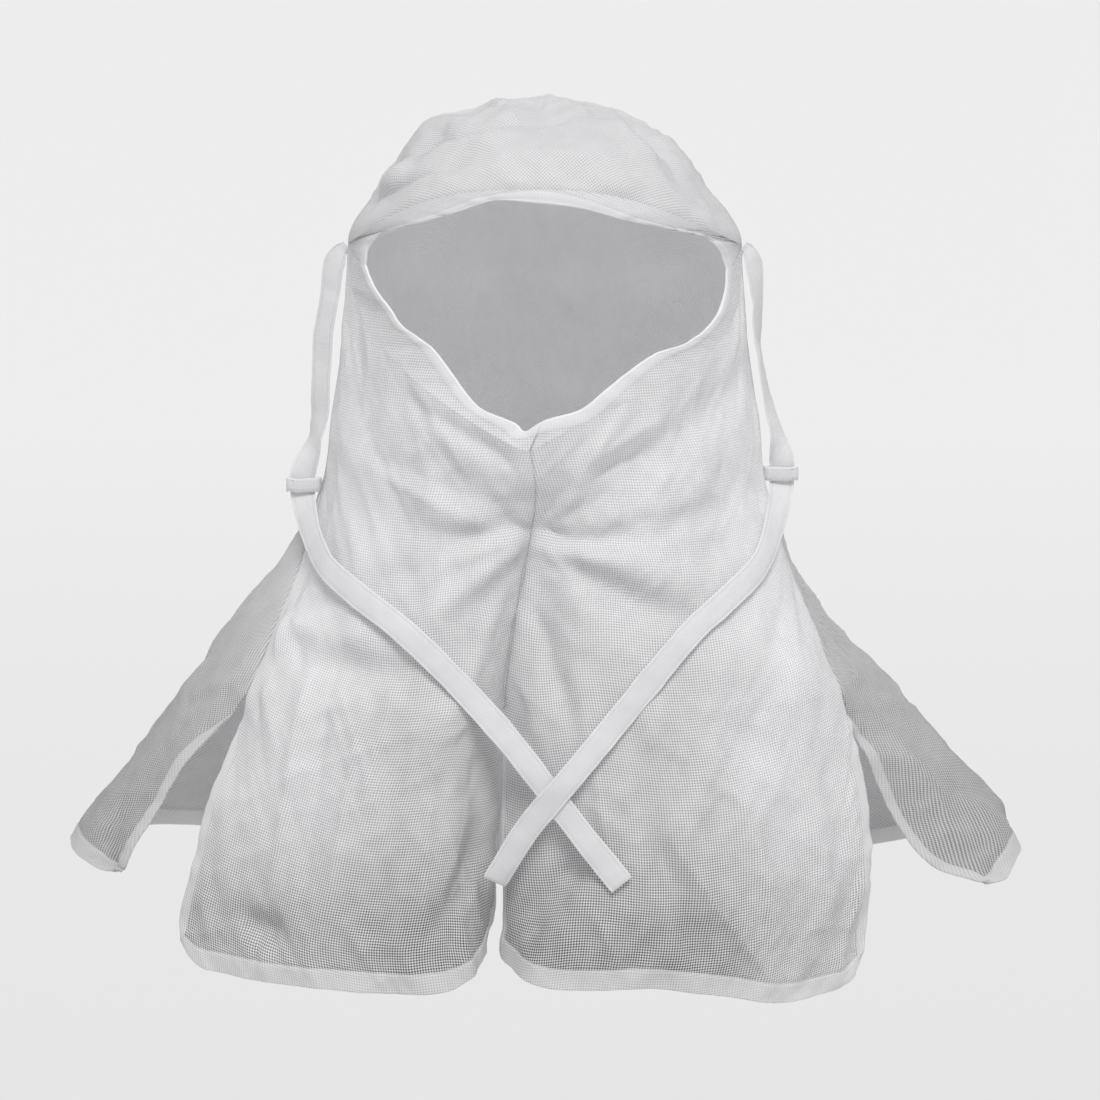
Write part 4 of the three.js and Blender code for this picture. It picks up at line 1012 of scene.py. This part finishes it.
def face_hem_lines(settings):
    """Both edges of the casing round the face opening, and the panels' grain along the outer one."""
    across = np.linspace(1, 0, FACE_STEPS // 2, endpoint=False)
    turns = np.linspace(np.pi / 2, -np.pi / 2, FACE_STEPS, endpoint=False)
    outer = [face_points(turns, brow_drop(turns))]
    grain = [np.zeros(FACE_STEPS)]
    for side, shares in (("right", across), ("left", 1 - across)):
        _, upper = panel_surface(settings, side)
        columns = [np.interp(shares, upper["share"], upper["place"][:, axis]) for axis in range(3)]
        outer.append(np.stack(columns, -1))
        grain.append(np.interp(shares, upper["share"], upper["grain"]))
    turn = []
    drop = []
    for table in (BROW_EDGE, CHEEK_EDGE):
        edge = spline(np.array(table, float), FACE_STEPS + 1)[:-1]
        turn.append(np.arcsin(edge[:, 0] / HEAD_HALF_WIDTH))
        drop.append(edge[:, 1])
    inner = face_points(np.concatenate(turn), np.concatenate(drop))
    return np.concatenate(outer), inner, np.concatenate(grain)[:, None]


def face_hem(settings):
    """The folded casing round the face opening."""
    outer, inner, grain = face_hem_lines(settings)
    cheeks = np.concatenate([np.zeros(FACE_STEPS), np.sin(np.linspace(0, np.pi, FACE_STEPS))])
    inner[:, :2] *= 1 - CHEEK_SETBACK * cheeks[:, None]
    breadth = length(outer - inner)[:, None]
    share = np.array(FACE_HEM_LINES)[None] / np.maximum(breadth, FACE_HEM_LINES[-1])
    share[:, -1] = 1
    points = mix(inner[:, None], outer[:, None], share[..., None])
    wall_turn = np.arctan2(points[..., 0] / HEAD_HALF_WIDTH, -points[..., 1] / FACE_DEPTH)
    on_wall = face_points(wall_turn, -points[..., 2])
    upright = smooth((1 - share) * 8) * smooth(1 - 2 * cheeks)[:, None]
    points = mix(points, on_wall, upright[..., None])
    flat = points.reshape(-1, 3)
    faces, _ = outward(flat, grid_faces(grid_numbers(points.shape, closed=True)))
    place = share * breadth
    round_trip = np.broadcast_to(walked(inner[:, None], 0), place.shape)
    pucker = 0.55 * soft_noise(round_trip, place * 0.3, 6.5, SEEDS["face_hem"])
    pucker = pucker + 0.8 * soft_noise(round_trip, place * 0.2, 17.0, SEEDS["face_hem"] + 1)
    relief = pucker * smooth((1 - share) * 3) * smooth(place / 3 + 0.4)
    relief += 0.3 * bell(place - 4.5, 3) * smooth((1 - share) * 4)
    relief -= 0.3 * bell(place - 2.1, 0.5)
    flat = flat + point_normals(flat, faces) * relief.reshape(-1, 1)
    wall = (mix(1.6, settings.cloth_wall, smooth(share * 1.1)) * rolled_edge(place, 1.2, 0.05)).ravel()
    drop = -points[..., 2]
    on_cheek = smooth(2 * cheeks)[:, None]
    # Painted shade where the dark inside shows through: as on the front panels at the cheeks, a little at the
    # brow, and none at the inner edge
    see_through_shade = mix(0.12, panel_see_through_shade("right", np.abs(points[..., 0]), drop), on_cheek) * smooth(place / 9)
    masks = cloth_masks(np.maximum(place + STITCH_LINE - 7.4, 0), round_trip, see_through_shade=see_through_shade)
    # Painted highlight: a lighter line along the casing's rolled inner edge
    masks["rim"] = (1 - smooth((place - 0.9) / 0.8)).ravel()
    below = np.arange(len(outer))[:, None] >= FACE_STEPS
    cloth_u = np.where(below, grain + np.abs(outer[:, :1]) - np.abs(points[..., 0]), round_trip)
    maps = {"cloth": np.stack([cloth_u.ravel(), np.where(below, drop, place).ravel()], -1)}
    joined = (share > 0.999).ravel()
    return sheet_object("cloth_face_hem", flat, faces, wall / 2, wall / 2, maps, masks, joined=joined)


def loop_centre(side):
    """Middle of the slot of a loop, beside the cloth at the side seam."""
    edge_x, edge_forward, edge_drop = (float(value) for value in edge_at(FLAP_EDGE[side], LOOP_ROW))
    next_drop = float(edge_at(FLAP_EDGE[side], LOOP_ROW + 1)[2])
    below = LOOP_ROW + LOOP_BAND / 2 / (next_drop - edge_drop)
    widest = np.abs(back_points(side, np.array([0, 0.03]), below)[:, 0]).max()
    out = widest + LOOP_GAP + (TIE_WIDTH + LOOP_PLAY) / 2 - 0.1 * LOOP_LIFT[side]
    return np.array([SIDES[side] * out, -edge_forward, -edge_drop + LOOP_LIFT[side]])


def loop_ring():
    """Middle of a loop's band seen from above: a long ring, with the tab that is sewn on at its inner end."""
    half = (TIE_WIDTH + LOOP_PLAY) / 2 + LOOP_REST
    deep = LOOP_SLOT / 2 + LOOP_REST
    arc = np.linspace(-np.pi / 2, np.pi / 2, 15)
    outer_end = np.stack([half - deep + deep * np.cos(arc), deep * np.sin(arc)], -1)
    top = np.stack([np.linspace(half - deep, -half, 14)[1:], np.full(13, deep)], -1)
    inner_end = np.array([(-half - out, deep * share) for out, share in LOOP_TAB])
    bottom = np.stack([np.linspace(-half, half - deep, 14)[:-1], np.full(13, -deep)], -1)
    return np.concatenate([outer_end, top, inner_end, bottom])


def tie_loop(side):
    """A small ring of folded tape at the side seam, with the tie through it."""
    ring = loop_ring()
    heights = np.array(LOOP_LINES) * LOOP_BAND / (2 * LOOP_LINES[-1])
    shape = (len(ring), len(heights))
    turn = 2 * np.pi * np.arange(len(ring)) / len(ring)
    slack = 0.35 * np.sin(turn * 3 + 0.6) + 0.2 * np.sin(turn * 5)
    bulge = 0.25 * np.cos(np.pi * heights / LOOP_BAND)
    across = np.broadcast_to(ring[:, :1] * SIDES[side], shape)
    deep = ring[:, 1:] + np.sign(ring[:, 1:]) * bulge[None]
    points = np.stack([across, deep, heights[None] + slack[:, None] * 0.8], -1)
    flat = points.reshape(-1, 3)
    faces, _ = outward(flat, grid_faces(grid_numbers(shape, closed=True)))
    edge = np.broadcast_to(LOOP_BAND / 2 - np.abs(heights), shape)
    around = np.broadcast_to(np.linspace(0, LOOP_LENGTH, len(ring))[:, None], shape)
    wall = (LOOP_WALL * rolled_edge(edge, 0.8, 0.05)).ravel()
    maps = {"cloth": np.stack([around.ravel(), spread_out(heights, shape)], -1)}
    masks = cloth_masks(edge + STITCH_LINE - 1.4, around)
    places = flat + loop_centre(side)
    return sheet_object(f"tape_loop_{side}", places, faces, wall / 2, wall / 2, maps, masks)


def front_at(x, drop):
    """The place and the slope of the front panels' cloth behind points of the front view."""
    across, at = np.meshgrid(np.linspace(0, 0.99, 100), np.linspace(0, LAST_ROW - 0.02, 200))
    cloth = {side: front_points(side, across, at) for side in SIDES}
    found = []
    for x_place, drop_place in zip(x, drop):
        row = np.clip((drop_place - CHIN_DROP) / (HOOD_HEIGHT - CHIN_DROP), 0, 1) * LAST_ROW
        side = "left" if x_place > -HEAD_HALF_WIDTH * read(FRONT["drift"], np.array(row)) else "right"
        panel = cloth[side]
        miss = (panel[..., 0] - x_place) ** 2 + (panel[..., 2] + drop_place) ** 2
        down, aside = np.unravel_index(miss.argmin(), miss.shape)
        down = min(max(down, 1), 198)
        aside = min(max(aside, 1), 98)
        to_side = panel[down, aside + 1] - panel[down, aside - 1]
        to_hem = panel[down + 1, aside] - panel[down - 1, aside]
        normal = np.cross(to_side, to_hem)
        found.append((panel[down, aside], unit(normal * -np.sign(normal[1]))))
    return np.array([point for point, _ in found]), np.array([normal for _, normal in found])


def drawn_tight(heights):
    """Heights of a tie that is drawn tight over the ground's heights."""
    places = np.arange(len(heights))
    hull = []
    for place, height in zip(places, heights):
        while len(hull) > 1:
            (a, low), (b, high) = hull[-2:]
            if (b - a) * (height - low) - (high - low) * (place - a) < 0:
                break
            hull.pop()
        hull.append((place, height))
    return np.interp(places, [place for place, _ in hull], [height for _, height in hull])


def tie_route(side, under=0.0):
    """Places of a tie, the way that its flat side faces at each, and how far forward it lies where the ties
    cross. under: the same of the tie that it lies over."""
    sign = SIDES[side]
    forward = np.array([0.0, -1.0, 0.0])
    places = [np.array([sign * (HEAD_HALF_WIDTH + 1.0), 0, -TEMPLE_DROP - 2])]
    facings = [forward]
    for out, down, turn in HANG_RUN[side]:
        turn = math.radians(turn)
        places.append(np.array([sign * out, 0, -down]))
        facings.append(np.array([sign * math.sin(turn), -math.cos(turn), 0]))
    centre = loop_centre(side)
    for height in (0.7, 0, -0.7):
        places.append(centre + (0, 0, height * LOOP_BAND))
        facings.append(forward)
    x = sign * np.array(CHEST_RUN[side]["across"]) * HEAD_HALF_WIDTH
    drop = mix(TEMPLE_DROP, HOOD_HEIGHT, np.array(CHEST_RUN[side]["drop"]))
    ground, normals = front_at(x, drop)
    heights = -ground[:, 1]
    heights[-1] = heights[-3:].max()
    if under > 0:
        heights[CROSSING] = max(heights[CROSSING], under + CROSSING_RISE - CHEST_CLEAR)
    depths = drawn_tight(heights)
    for index in range(len(x)):
        at_neck = index < NECK_PLACES
        facing = unit(mix(normals[index], forward, 0.2 if at_neck else 0.75))
        place = np.array([x[index], -depths[index], -drop[index]])
        places.append(place + facing * (NECK_CLEAR if at_neck else CHEST_CLEAR))
        facings.append(facing)
    crossing = places[len(places) - len(x) + CROSSING]
    return np.array(places), np.array(facings), -crossing[1]


def spline(values, samples):
    """Points along a centripetal spline through values, spaced evenly by length."""
    ends = np.concatenate([[2 * values[0] - values[1]], values, [2 * values[-1] - values[-2]]])
    knots = np.concatenate([[0], np.cumsum(np.sqrt(np.maximum(length(np.diff(ends, axis=0)), 1e-6)))])
    pieces = []
    for index in range(1, len(ends) - 2):
        t0, t1, t2, t3 = knots[index - 1 : index + 3]
        t = np.linspace(t1, t2, 40, endpoint=False)[:, None]
        p0, p1, p2, p3 = ends[index - 1 : index + 3]
        a1 = (t1 - t) / (t1 - t0) * p0 + (t - t0) / (t1 - t0) * p1
        a2 = (t2 - t) / (t2 - t1) * p1 + (t - t1) / (t2 - t1) * p2
        a3 = (t3 - t) / (t3 - t2) * p2 + (t - t2) / (t3 - t2) * p3
        b1 = (t2 - t) / (t2 - t0) * a1 + (t - t0) / (t2 - t0) * a2
        b2 = (t3 - t) / (t3 - t1) * a2 + (t - t1) / (t3 - t1) * a3
        pieces.append((t2 - t) / (t2 - t1) * b1 + (t - t1) / (t2 - t1) * b2)
    line = np.concatenate([*pieces, values[-1:]])
    way = way_along(line)
    even = np.linspace(0, way[-1], samples)
    return np.stack([np.interp(even, way, line[:, axis]) for axis in range(line.shape[1])], -1)


def tie_strap(side, route):
    """A flat tie of folded and stitched cloth along its route, and its length."""
    places, facings, _ = route
    both = spline(np.concatenate([places, facings * 30], 1), TIE_STEPS)
    middle = both[:, :3]
    along = unit(np.gradient(middle, axis=0))
    wide = unit(np.cross(along, both[:, 3:]))
    facing = np.cross(wide, along)
    lines = np.array(TIE_LINES) * TIE_WIDTH / (2 * TIE_LINES[-1])
    edge = TIE_WIDTH / 2 - np.abs(lines)
    way = way_along(middle)
    seed = TIE_SEEDS[side]
    ripple = 0.5 * soft_noise(way[:, None], lines[None] * 0.7, 7.0, seed)
    ripple = ripple + 0.5 * soft_noise(way[:, None], lines[None] * 0.4, 17.0, seed + 1)
    ripple = ripple - 0.3 * bell(edge - 1.6, 0.5)
    narrowed = 1 + 0.035 * soft_noise(way, 0 * way, 15.0, seed + 2)
    narrowed += 0.02 * soft_noise(way, 0 * way, 6.0, seed + 3)
    narrowed *= mix(0.5, 1, smooth(way / TIE_WIDTH))
    stations = lines[None] * narrowed[:, None]
    points = middle[:, None] + wide[:, None] * stations[..., None] + facing[:, None] * ripple[..., None]
    flat = points.reshape(-1, 3)
    end = np.minimum(way, way[-1] - way)
    rolled = rolled_edge(edge, 0.5, 0.04)[None] * rolled_edge(end, 0.8, 0.04)[:, None]
    wall = (TIE_WALL * rolled).ravel()
    distance = np.minimum(edge[None], end[:, None])
    way_each = np.broadcast_to(way[:, None], distance.shape)
    masks = cloth_masks(distance + STITCH_LINE - 1.6, way_each)
    maps = {"cloth": np.stack([way_each.ravel(), stations.ravel()], -1)}
    faces = grid_faces(grid_numbers(points.shape))
    return sheet_object(f"tape_tie_{side}", flat, faces, wall / 2, wall / 2, maps, masks), way[-1]


def node(tree, kind, inputs=None, **values):
    """A shader node with its values and its inputs, given as numbers or as links."""
    made = tree.nodes.new(kind)
    for name, value in values.items():
        setattr(made, name, value)
    for name, value in (inputs or {}).items():
        socket = made.inputs[name]
        if isinstance(value, bpy.types.NodeSocket):
            tree.links.new(value, socket)
        else:
            socket.default_value = value
    return made


def maths(tree, operation, first, second=0.0, third=0.0):
    return node(tree, "ShaderNodeMath", {0: first, 1: second, 2: third}, operation=operation).outputs[0]


def attribute(tree, name):
    return node(tree, "ShaderNodeAttribute", attribute_name=name, attribute_type="GEOMETRY").outputs["Fac"]


def noise(tree, place, scale, detail):
    """Noise from 0 to 1, with its scale for one metre."""
    return node(tree, "ShaderNodeTexNoise", {"Vector": place, "Scale": scale, "Detail": detail}).outputs[0]


def new_group(name, inputs, outputs):
    """An empty node group with its sockets, and its nodes for what comes in and what goes out."""
    tree = bpy.data.node_groups.new(name, "ShaderNodeTree")
    for way, sockets in (("INPUT", inputs), ("OUTPUT", outputs)):
        for socket, kind in sockets.items():
            tree.interface.new_socket(name=socket, in_out=way, socket_type=f"NodeSocket{kind}")
    return tree, node(tree, "NodeGroupInput").outputs, node(tree, "NodeGroupOutput").inputs


def weave_group():
    """Square embossing of the cloth: the height of its threads and pits from 0 to 1, at places given in
    metres."""
    inputs = {"Place": "Vector", "Pitch": "Float"}
    tree, given, result = new_group("Embossed weave", inputs, {"Height": "Float"})
    turns = maths(tree, "DIVIDE", 2 * math.pi, given["Pitch"])
    scaled = node(tree, "ShaderNodeVectorMath", {0: given["Place"], "Scale": turns}, operation="SCALE")
    parts = node(tree, "ShaderNodeSeparateXYZ", {0: scaled.outputs[0]}).outputs
    waves = maths(tree, "ADD", maths(tree, "COSINE", parts[0]), maths(tree, "COSINE", parts[1]))
    tree.links.new(maths(tree, "MULTIPLY_ADD", waves, 0.25, 0.5), result["Height"])


def stitch_group():
    """Stitches along a hem and the groove that they lie in, from the distance to the hem's edge and the way
    along it, in millimetres."""
    inputs = {"Distance": "Float", "Along": "Float", "Line": "Float"}
    tree, given, result = new_group("Stitch line", inputs, {"Thread": "Float", "Groove": "Float"})
    off_line = maths(tree, "ABSOLUTE", maths(tree, "SUBTRACT", given["Distance"], given["Line"]))
    near_line = maths(tree, "MAXIMUM", maths(tree, "SUBTRACT", 1.0, off_line), 0.0)
    groove = maths(tree, "SMOOTH_MIN", 1.0, near_line, 0.2)
    on_line = maths(tree, "LESS_THAN", off_line, STITCH_WIDTH)
    stitch = maths(tree, "FRACT", maths(tree, "DIVIDE", given["Along"], STITCH_LENGTH))
    thread = maths(tree, "MULTIPLY", on_line, maths(tree, "LESS_THAN", stitch, STITCH_SHARE))
    tree.links.new(thread, result["Thread"])
    tree.links.new(groove, result["Groove"])


def weave_height(tree, pitch, crown):
    """Height of the weave on a sheet's map. crown: whether it changes to the map round the crown's top."""
    weave = bpy.data.node_groups["Embossed weave"]
    heights = []
    for map_name in ("cloth", "crown") if crown else ("cloth",):
        given = {"Place": node(tree, "ShaderNodeUVMap", uv_map=map_name).outputs[0], "Pitch": pitch}
        heights.append(node(tree, "ShaderNodeGroup", given, node_tree=weave).outputs[0])
    if not crown:
        return heights[0]
    inputs = {0: attribute(tree, "crown_share"), 2: heights[0], 3: heights[1]}
    return node(tree, "ShaderNodeMix", inputs, data_type="FLOAT").outputs[0]


def cloth_material(name, settings, colour, weave_share, hem_shade, crown=False):
    """Embossed nonwoven cloth, with painted shade and painted light in its colour. weave_share: how strong
    its embossing shows; hem_shade: how much darker its hems are; crown: whether it covers the crown too."""
    material = bpy.data.materials.new(name)
    material.use_nodes = True
    tree = material.node_tree
    tree.nodes.clear()
    height = weave_height(tree, settings.weave_pitch, crown)
    distance = attribute(tree, "hem_distance")
    stitches = node(
        tree,
        "ShaderNodeGroup",
        {"Distance": distance, "Along": attribute(tree, "hem_along"), "Line": STITCH_LINE},
        node_tree=bpy.data.node_groups["Stitch line"],
    ).outputs
    hem_end = {"From Min": STITCH_LINE - 0.4, "From Max": STITCH_LINE + 0.4, "To Min": 0.3, "To Max": 1.0}
    off_hem = node(tree, "ShaderNodeMapRange", {"Value": distance, **hem_end}).outputs[0]
    seen = maths(tree, "MULTIPLY", off_hem, weave_share)
    place = node(tree, "ShaderNodeTexCoord").outputs["Object"]
    clouds = noise(tree, place, 26.0, 4.0)
    fibres = noise(tree, place, 1500.0, 3.0)
    patches = noise(tree, place, 110.0, 3.0)
    see_through_shade = attribute(tree, "see_through_shade")
    inner_side = attribute(tree, "inner_side")
    # Painted shade in the weave's pits, varied in patches and deeper where the dark inside shows through; on
    # the inner faces it is weaker, as painted light inside the hood
    pits = maths(tree, "POWER", maths(tree, "SUBTRACT", 1.0, height), 1.6)
    pits = maths(tree, "MULTIPLY", pits, seen)
    pits = maths(tree, "MULTIPLY", pits, maths(tree, "MULTIPLY_ADD", patches, 0.5, 0.75))
    pits = maths(tree, "MULTIPLY", pits, maths(tree, "MULTIPLY_ADD", inner_side, -0.45, 1.0))
    depth = maths(tree, "MULTIPLY_ADD", see_through_shade, settings.pit_shade, settings.pit_shade * 0.35)
    near_seam = maths(tree, "SUBTRACT", SEAM_WIDTH, attribute(tree, "seam_distance"))
    # Effects on the colour: painted shade in the pits, darker hems, painted shade where the dark inside shows
    # through, painted light on the inner faces, random cloudy and fibrous tone, painted shade in the stitch
    # grooves, lighter stitch threads, a painted highlight on the face hem's rim, and painted shade along the
    # seams
    effects = (
        (maths(tree, "MULTIPLY", pits, depth), -1.0),
        (maths(tree, "SUBTRACT", 1.0, off_hem), -hem_shade),
        (maths(tree, "MULTIPLY", see_through_shade, off_hem), CROWN_SEE_THROUGH_SHADE if crown else PANEL_SEE_THROUGH_SHADE),
        (maths(tree, "MULTIPLY", inner_side, maths(tree, "SUBTRACT", 1.0, see_through_shade)), INSIDE_LIGHT),
        (maths(tree, "SUBTRACT", clouds, 0.5), CLOUD_SHADE),
        (maths(tree, "SUBTRACT", fibres, 0.5), FIBRE_SHADE),
        (stitches["Groove"], GROOVE_SHADE),
        (stitches["Thread"], THREAD_LIGHT),
        (attribute(tree, "rim"), RIM_LIGHT),
        (maths(tree, "MAXIMUM", near_seam, 0.0), SEAM_SHADE),
    )
    shade = 1.0
    for mask, amount in effects:
        shade = maths(tree, "MULTIPLY_ADD", mask, amount, shade)
    tint = node(tree, "ShaderNodeVectorMath", {0: (*colour,), "Scale": shade}, operation="SCALE").outputs[0]
    relief = maths(tree, "MULTIPLY", maths(tree, "MULTIPLY", height, seen), settings.weave_depth)
    relief = maths(tree, "MULTIPLY_ADD", fibres, 0.05, relief)
    relief = maths(tree, "MULTIPLY_ADD", stitches["Thread"], 0.2, relief)
    bump = node(tree, "ShaderNodeBump", {"Strength": 1.0, "Distance": 0.001, "Height": relief}).outputs[0]
    surface = node(
        tree,
        "ShaderNodeBsdfPrincipled",
        {
            "Base Color": tint,
            "Roughness": maths(tree, "MULTIPLY_ADD", clouds, 0.12, 0.74),
            "Normal": bump,
            "Specular IOR Level": 0.25,
            "Sheen Weight": 0.05,
            "Sheen Roughness": 0.6,
        },
    ).outputs[0]
    through = node(tree, "ShaderNodeBsdfTranslucent", {"Color": tint, "Normal": bump}).outputs[0]
    shader = node(tree, "ShaderNodeMixShader", {0: settings.show_through, 1: surface, 2: through})
    tree.links.new(shader.outputs[0], node(tree, "ShaderNodeOutputMaterial").inputs["Surface"])


def floor_material(settings):
    """Plain pale floor, with painted shade that makes it a little darker near the camera."""
    material = bpy.data.materials.new("Floor")
    material.use_nodes = True
    tree = material.node_tree
    shader = tree.nodes["Principled BSDF"]
    place = node(tree, "ShaderNodeTexCoord").outputs["Object"]
    far = node(tree, "ShaderNodeSeparateXYZ", {0: place}).outputs["Y"]
    fade = {"From Min": 1.5, "From Max": 7.0, "To Min": 0.92, "To Max": 1.0}
    shade = node(tree, "ShaderNodeMapRange", {"Value": far, **fade}).outputs[0]
    colour = (*settings.floor_colour,)
    tint = node(tree, "ShaderNodeVectorMath", {0: colour, "Scale": shade}, operation="SCALE").outputs[0]
    tree.links.new(tint, shader.inputs["Base Color"])
    shader.inputs["Roughness"].default_value = 0.9
    shader.inputs["Specular IOR Level"].default_value = 0.1
    return material


def colour_property(name, description, default):
    return FloatVectorProperty(
        name=name, description=description, subtype="COLOR", size=3, min=0, max=1, default=default
    )


class HoodSettings(bpy.types.PropertyGroup):
    """Sizes and colours of the hood that a user may change."""

    cloth_colour: colour_property("Cloth", "Colour of the panels", (0.95, 0.947, 0.958))
    hem_colour: colour_property("Hems", "Colour of the folded hem", (0.93, 0.928, 0.938))
    tape_colour: colour_property("Ties", "Colour of the ties and loops", (0.84, 0.842, 0.85))
    floor_colour: colour_property("Floor", "Colour of the floor", (0.67, 0.67, 0.67))
    weave_pitch: FloatProperty(
        name="Weave pitch",
        description="Distance between the embossed threads",
        default=0.00145,
        min=0.0005,
        unit="LENGTH",
    )
    weave_depth: FloatProperty(
        name="Weave depth", description="Depth of the embossing, in millimetres", default=0.2, min=0
    )
    # Painted shade in the weave's pits
    pit_shade: FloatProperty(
        name="Pit shade", description="How much darker the pits of the weave are", default=0.58, min=0, max=1
    )
    show_through: FloatProperty(
        name="Show-through",
        description="Share of the light that passes through the cloth",
        default=0.48,
        min=0,
        max=1,
    )
    cloth_wall: FloatProperty(
        name="Cloth wall", description="Wall of the cloth, in millimetres", default=0.7, min=0.2
    )
    hem_wall: FloatProperty(
        name="Hem wall", description="Wall of a folded hem, in millimetres", default=2.0, min=0.4
    )
    fold_height: FloatProperty(
        name="Folds", description="How strongly the cloth is creased", default=1.7, min=0
    )
    crumple_height: FloatProperty(
        name="Crumples", description="How sharply the cloth is crumpled", default=1.0, min=0
    )
    dent_height: FloatProperty(
        name="Dents", description="How strongly the cloth is dented", default=1.0, min=0
    )


class HOOD_OT_stage(bpy.types.Operator):
    """Makes the floor, the light and the camera"""

    bl_idname = "hood.stage"
    bl_label = "Make stage"

    def execute(self, context):
        bpy.ops.mesh.primitive_plane_add(size=FLOOR_SIZE, location=(0, 0, FLOOR_LEVEL))
        floor = context.object
        floor.name = "floor"
        floor.data.materials.append(floor_material(context.scene.hood))
        world = bpy.data.worlds.new("Studio")
        context.scene.world = world
        world.use_nodes = True
        sky = world.node_tree.nodes["Background"]
        sky.inputs["Color"].default_value = SKY_COLOUR
        sky.inputs["Strength"].default_value = SKY_STRENGTH
        key = bpy.data.lights.new("Key", "SUN")
        key.energy = KEY_STRENGTH
        key.angle = KEY_SPREAD
        key.color = KEY_COLOUR
        lamp = bpy.data.objects.new("Key", key)
        context.scene.collection.objects.link(lamp)
        lamp.location = (1.2, -1.4, 1.4)
        lamp.rotation_euler = Vector(KEY_WAY).to_track_quat("-Z", "Y").to_euler()
        aim = Vector(CAMERA_AIM)
        camera = bpy.data.objects.new("Camera", bpy.data.cameras.new("Camera"))
        context.scene.collection.objects.link(camera)
        backward = Vector((0, -math.cos(CAMERA_LIFT), math.sin(CAMERA_LIFT)))
        camera.location = aim + CAMERA_DISTANCE * backward
        camera.rotation_euler = (aim - camera.location).to_track_quat("-Z", "Y").to_euler()
        camera.data.sensor_width = 36
        camera.data.lens = CAMERA_LENS
        context.scene.camera = camera
        context.scene.view_settings.view_transform = "Standard"
        return {"FINISHED"}


class HOOD_OT_finishes(bpy.types.Operator):
    """Makes the finishes of the cloth, the hem and the tapes"""

    bl_idname = "hood.finishes"
    bl_label = "Make finishes"

    def execute(self, context):
        settings = context.scene.hood
        weave_group()
        stitch_group()
        cloth_material("Panel cloth", settings, settings.cloth_colour, 1.0, 0.2)
        cloth_material("Bias cloth", settings, settings.cloth_colour, 0.95, 0.2, crown=True)
        cloth_material("Hem cloth", settings, settings.hem_colour, 1.0, 0.1)
        cloth_material("Tape cloth", settings, settings.tape_colour, 0.3, 0.0)
        return {"FINISHED"}


class HOOD_OT_crown(bpy.types.Operator):
    """Makes the crown, the back and the shoulder flaps"""

    bl_idname = "hood.crown"
    bl_label = "Make crown and back"

    def execute(self, context):
        piece = crown_and_back(context.scene.hood)
        finished(piece, "crown_back", "Bias cloth")
        return {"FINISHED"}


class HOOD_OT_panels(bpy.types.Operator):
    """Makes both front panels with their flaps"""

    bl_idname = "hood.panels"
    bl_label = "Make front panels"

    def execute(self, context):
        for side in SIDES:
            piece = front_panel(context.scene.hood, side)
            finished(piece, f"front_{side}", "Panel cloth")
        return {"FINISHED"}


class HOOD_OT_face_hem(bpy.types.Operator):
    """Makes the folded hem round the face opening"""

    bl_idname = "hood.face_hem"
    bl_label = "Make face hem"

    def execute(self, context):
        piece = face_hem(context.scene.hood)
        finished(piece, "face_hem", "Hem cloth")
        return {"FINISHED"}


class HOOD_OT_tapes(bpy.types.Operator):
    """Makes the ties and the loops that they run through"""

    bl_idname = "hood.tapes"
    bl_label = "Make ties and loops"

    def execute(self, context):
        right = tie_route("right")
        left = tie_route("left", right[2])
        for side, route in (("right", right), ("left", left)):
            finished(tie_loop(side), f"loop_{side}", "Tape cloth")
            tie, tie_length = tie_strap(side, route)
            finished(tie, f"tie_{side}", "Tape cloth")
        return {"FINISHED"}


class HOOD_PT_build(bpy.types.Panel):
    """Lists the hood's pieces in the sidebar"""

    bl_label = "Hood"
    bl_space_type = "VIEW_3D"
    bl_region_type = "UI"
    bl_category = "Hood"

    def draw(self, context):
        for name in HoodSettings.__annotations__:
            self.layout.prop(context.scene.hood, name)
        for operator in OPERATORS:
            self.layout.operator(operator.bl_idname)


OPERATORS = (HOOD_OT_stage, HOOD_OT_finishes, HOOD_OT_crown, HOOD_OT_panels, HOOD_OT_face_hem, HOOD_OT_tapes)
CLASSES = (HoodSettings, *OPERATORS, HOOD_PT_build)


def register():
    for item in CLASSES:
        bpy.utils.register_class(item)
    bpy.types.Scene.hood = PointerProperty(type=HoodSettings)


def unregister():
    del bpy.types.Scene.hood
    for item in reversed(CLASSES):
        bpy.utils.unregister_class(item)


def main():
    register()
    bpy.ops.object.select_all(action="DESELECT")
    bpy.ops.hood.stage()
    bpy.ops.hood.finishes()
    bpy.ops.hood.crown()
    bpy.ops.hood.panels()
    bpy.ops.hood.face_hem()
    bpy.ops.hood.tapes()


if __name__ == "__main__":
    main()
